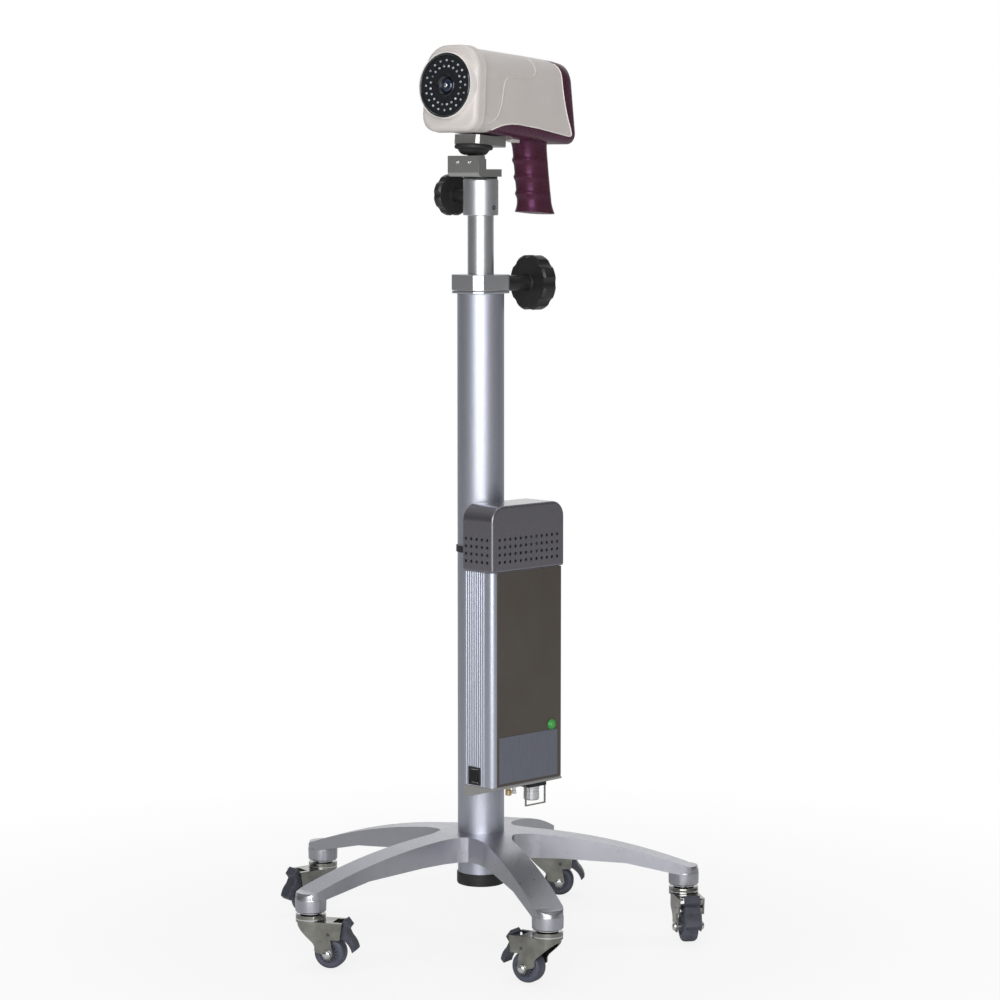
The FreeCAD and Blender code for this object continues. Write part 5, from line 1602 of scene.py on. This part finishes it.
class STAND_OT_base(bpy.types.Operator):
    """Model the cast five-leg base"""

    bl_idname = "stand.base"
    bl_label = "Star base"

    def execute(self, context):
        model_base()
        return {"FINISHED"}


class STAND_OT_castors(bpy.types.Operator):
    """Model the five braked castors"""

    bl_idname = "stand.castors"
    bl_label = "Castors"

    def execute(self, context):
        model_castors()
        return {"FINISHED"}


class STAND_OT_head(bpy.types.Operator):
    """Model the two head shells"""

    bl_idname = "stand.head"
    bl_label = "Head shells"

    def execute(self, context):
        model_head()
        return {"FINISHED"}


class STAND_OT_grip(bpy.types.Operator):
    """Model the grip and the trigger"""

    bl_idname = "stand.grip"
    bl_label = "Grip and trigger"

    def execute(self, context):
        model_grip()
        model_trigger()
        return {"FINISHED"}


class STAND_OT_lens(bpy.types.Operator):
    """Model the bezel, lamps and lens"""

    bl_idname = "stand.lens"
    bl_label = "Lens and lamps"

    def execute(self, context):
        model_lens()
        return {"FINISHED"}


class STAND_OT_mount(bpy.types.Operator):
    """Model the angle bracket and tilt mount"""

    bl_idname = "stand.mount"
    bl_label = "Head mount"

    def execute(self, context):
        model_mount()
        return {"FINISHED"}


class STAND_OT_case(bpy.types.Operator):
    """Model the control box"""

    bl_idname = "stand.case"
    bl_label = "Control box"

    def execute(self, context):
        model_case()
        model_vent_cap()
        model_plates()
        return {"FINISHED"}


class STAND_OT_fittings(bpy.types.Operator):
    """Model the switch, sockets and posts of the control box"""

    bl_idname = "stand.fittings"
    bl_label = "Box fittings"

    def execute(self, context):
        model_fittings()
        return {"FINISHED"}


class STAND_OT_stage(bpy.types.Operator):
    """Set the floor, the lights and the camera"""

    bl_idname = "stand.stage"
    bl_label = "Stage"

    def execute(self, context):
        make_stage()
        return {"FINISHED"}


STEPS = (
    "stage",
    "finishes",
    "column",
    "clamp",
    "knobs",
    "base",
    "castors",
    "head",
    "grip",
    "lens",
    "mount",
    "case",
    "fittings",
)


class VIEW3D_PT_stand(bpy.types.Panel):
    """Sizes, colours and steps of the stand"""

    bl_idname = "VIEW3D_PT_stand"
    bl_label = "Colposcope stand"
    bl_space_type = "VIEW_3D"
    bl_region_type = "UI"
    bl_category = "Colposcope"

    def draw(self, context):
        layout = self.layout
        for group in ("stand_sizes", "head_sizes", "case_sizes", "finish_colours"):
            settings = getattr(context.scene, group)
            box = layout.box()
            for name in settings.__annotations__:
                box.prop(settings, name)
        for step in STEPS:
            layout.operator("stand." + step)


GROUPS = {
    "stand_sizes": StandSizes,
    "head_sizes": HeadSizes,
    "case_sizes": CaseSizes,
    "finish_colours": FinishColours,
}
CLASSES = (
    StandSizes,
    HeadSizes,
    CaseSizes,
    FinishColours,
    STAND_OT_finishes,
    STAND_OT_column,
    STAND_OT_clamp,
    STAND_OT_knobs,
    STAND_OT_base,
    STAND_OT_castors,
    STAND_OT_head,
    STAND_OT_grip,
    STAND_OT_lens,
    STAND_OT_mount,
    STAND_OT_case,
    STAND_OT_fittings,
    STAND_OT_stage,
    VIEW3D_PT_stand,
)


def register():
    for made in CLASSES:
        bpy.utils.register_class(made)
    for name, group in GROUPS.items():
        setattr(bpy.types.Scene, name, PointerProperty(type=group))


def unregister():
    for name in GROUPS:
        delattr(bpy.types.Scene, name)
    for made in reversed(CLASSES):
        bpy.utils.unregister_class(made)


def main():
    """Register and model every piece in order."""
    register()
    for step in STEPS:
        getattr(bpy.ops.stand, step)()
    clear()


if __name__ == "__main__":
    main()
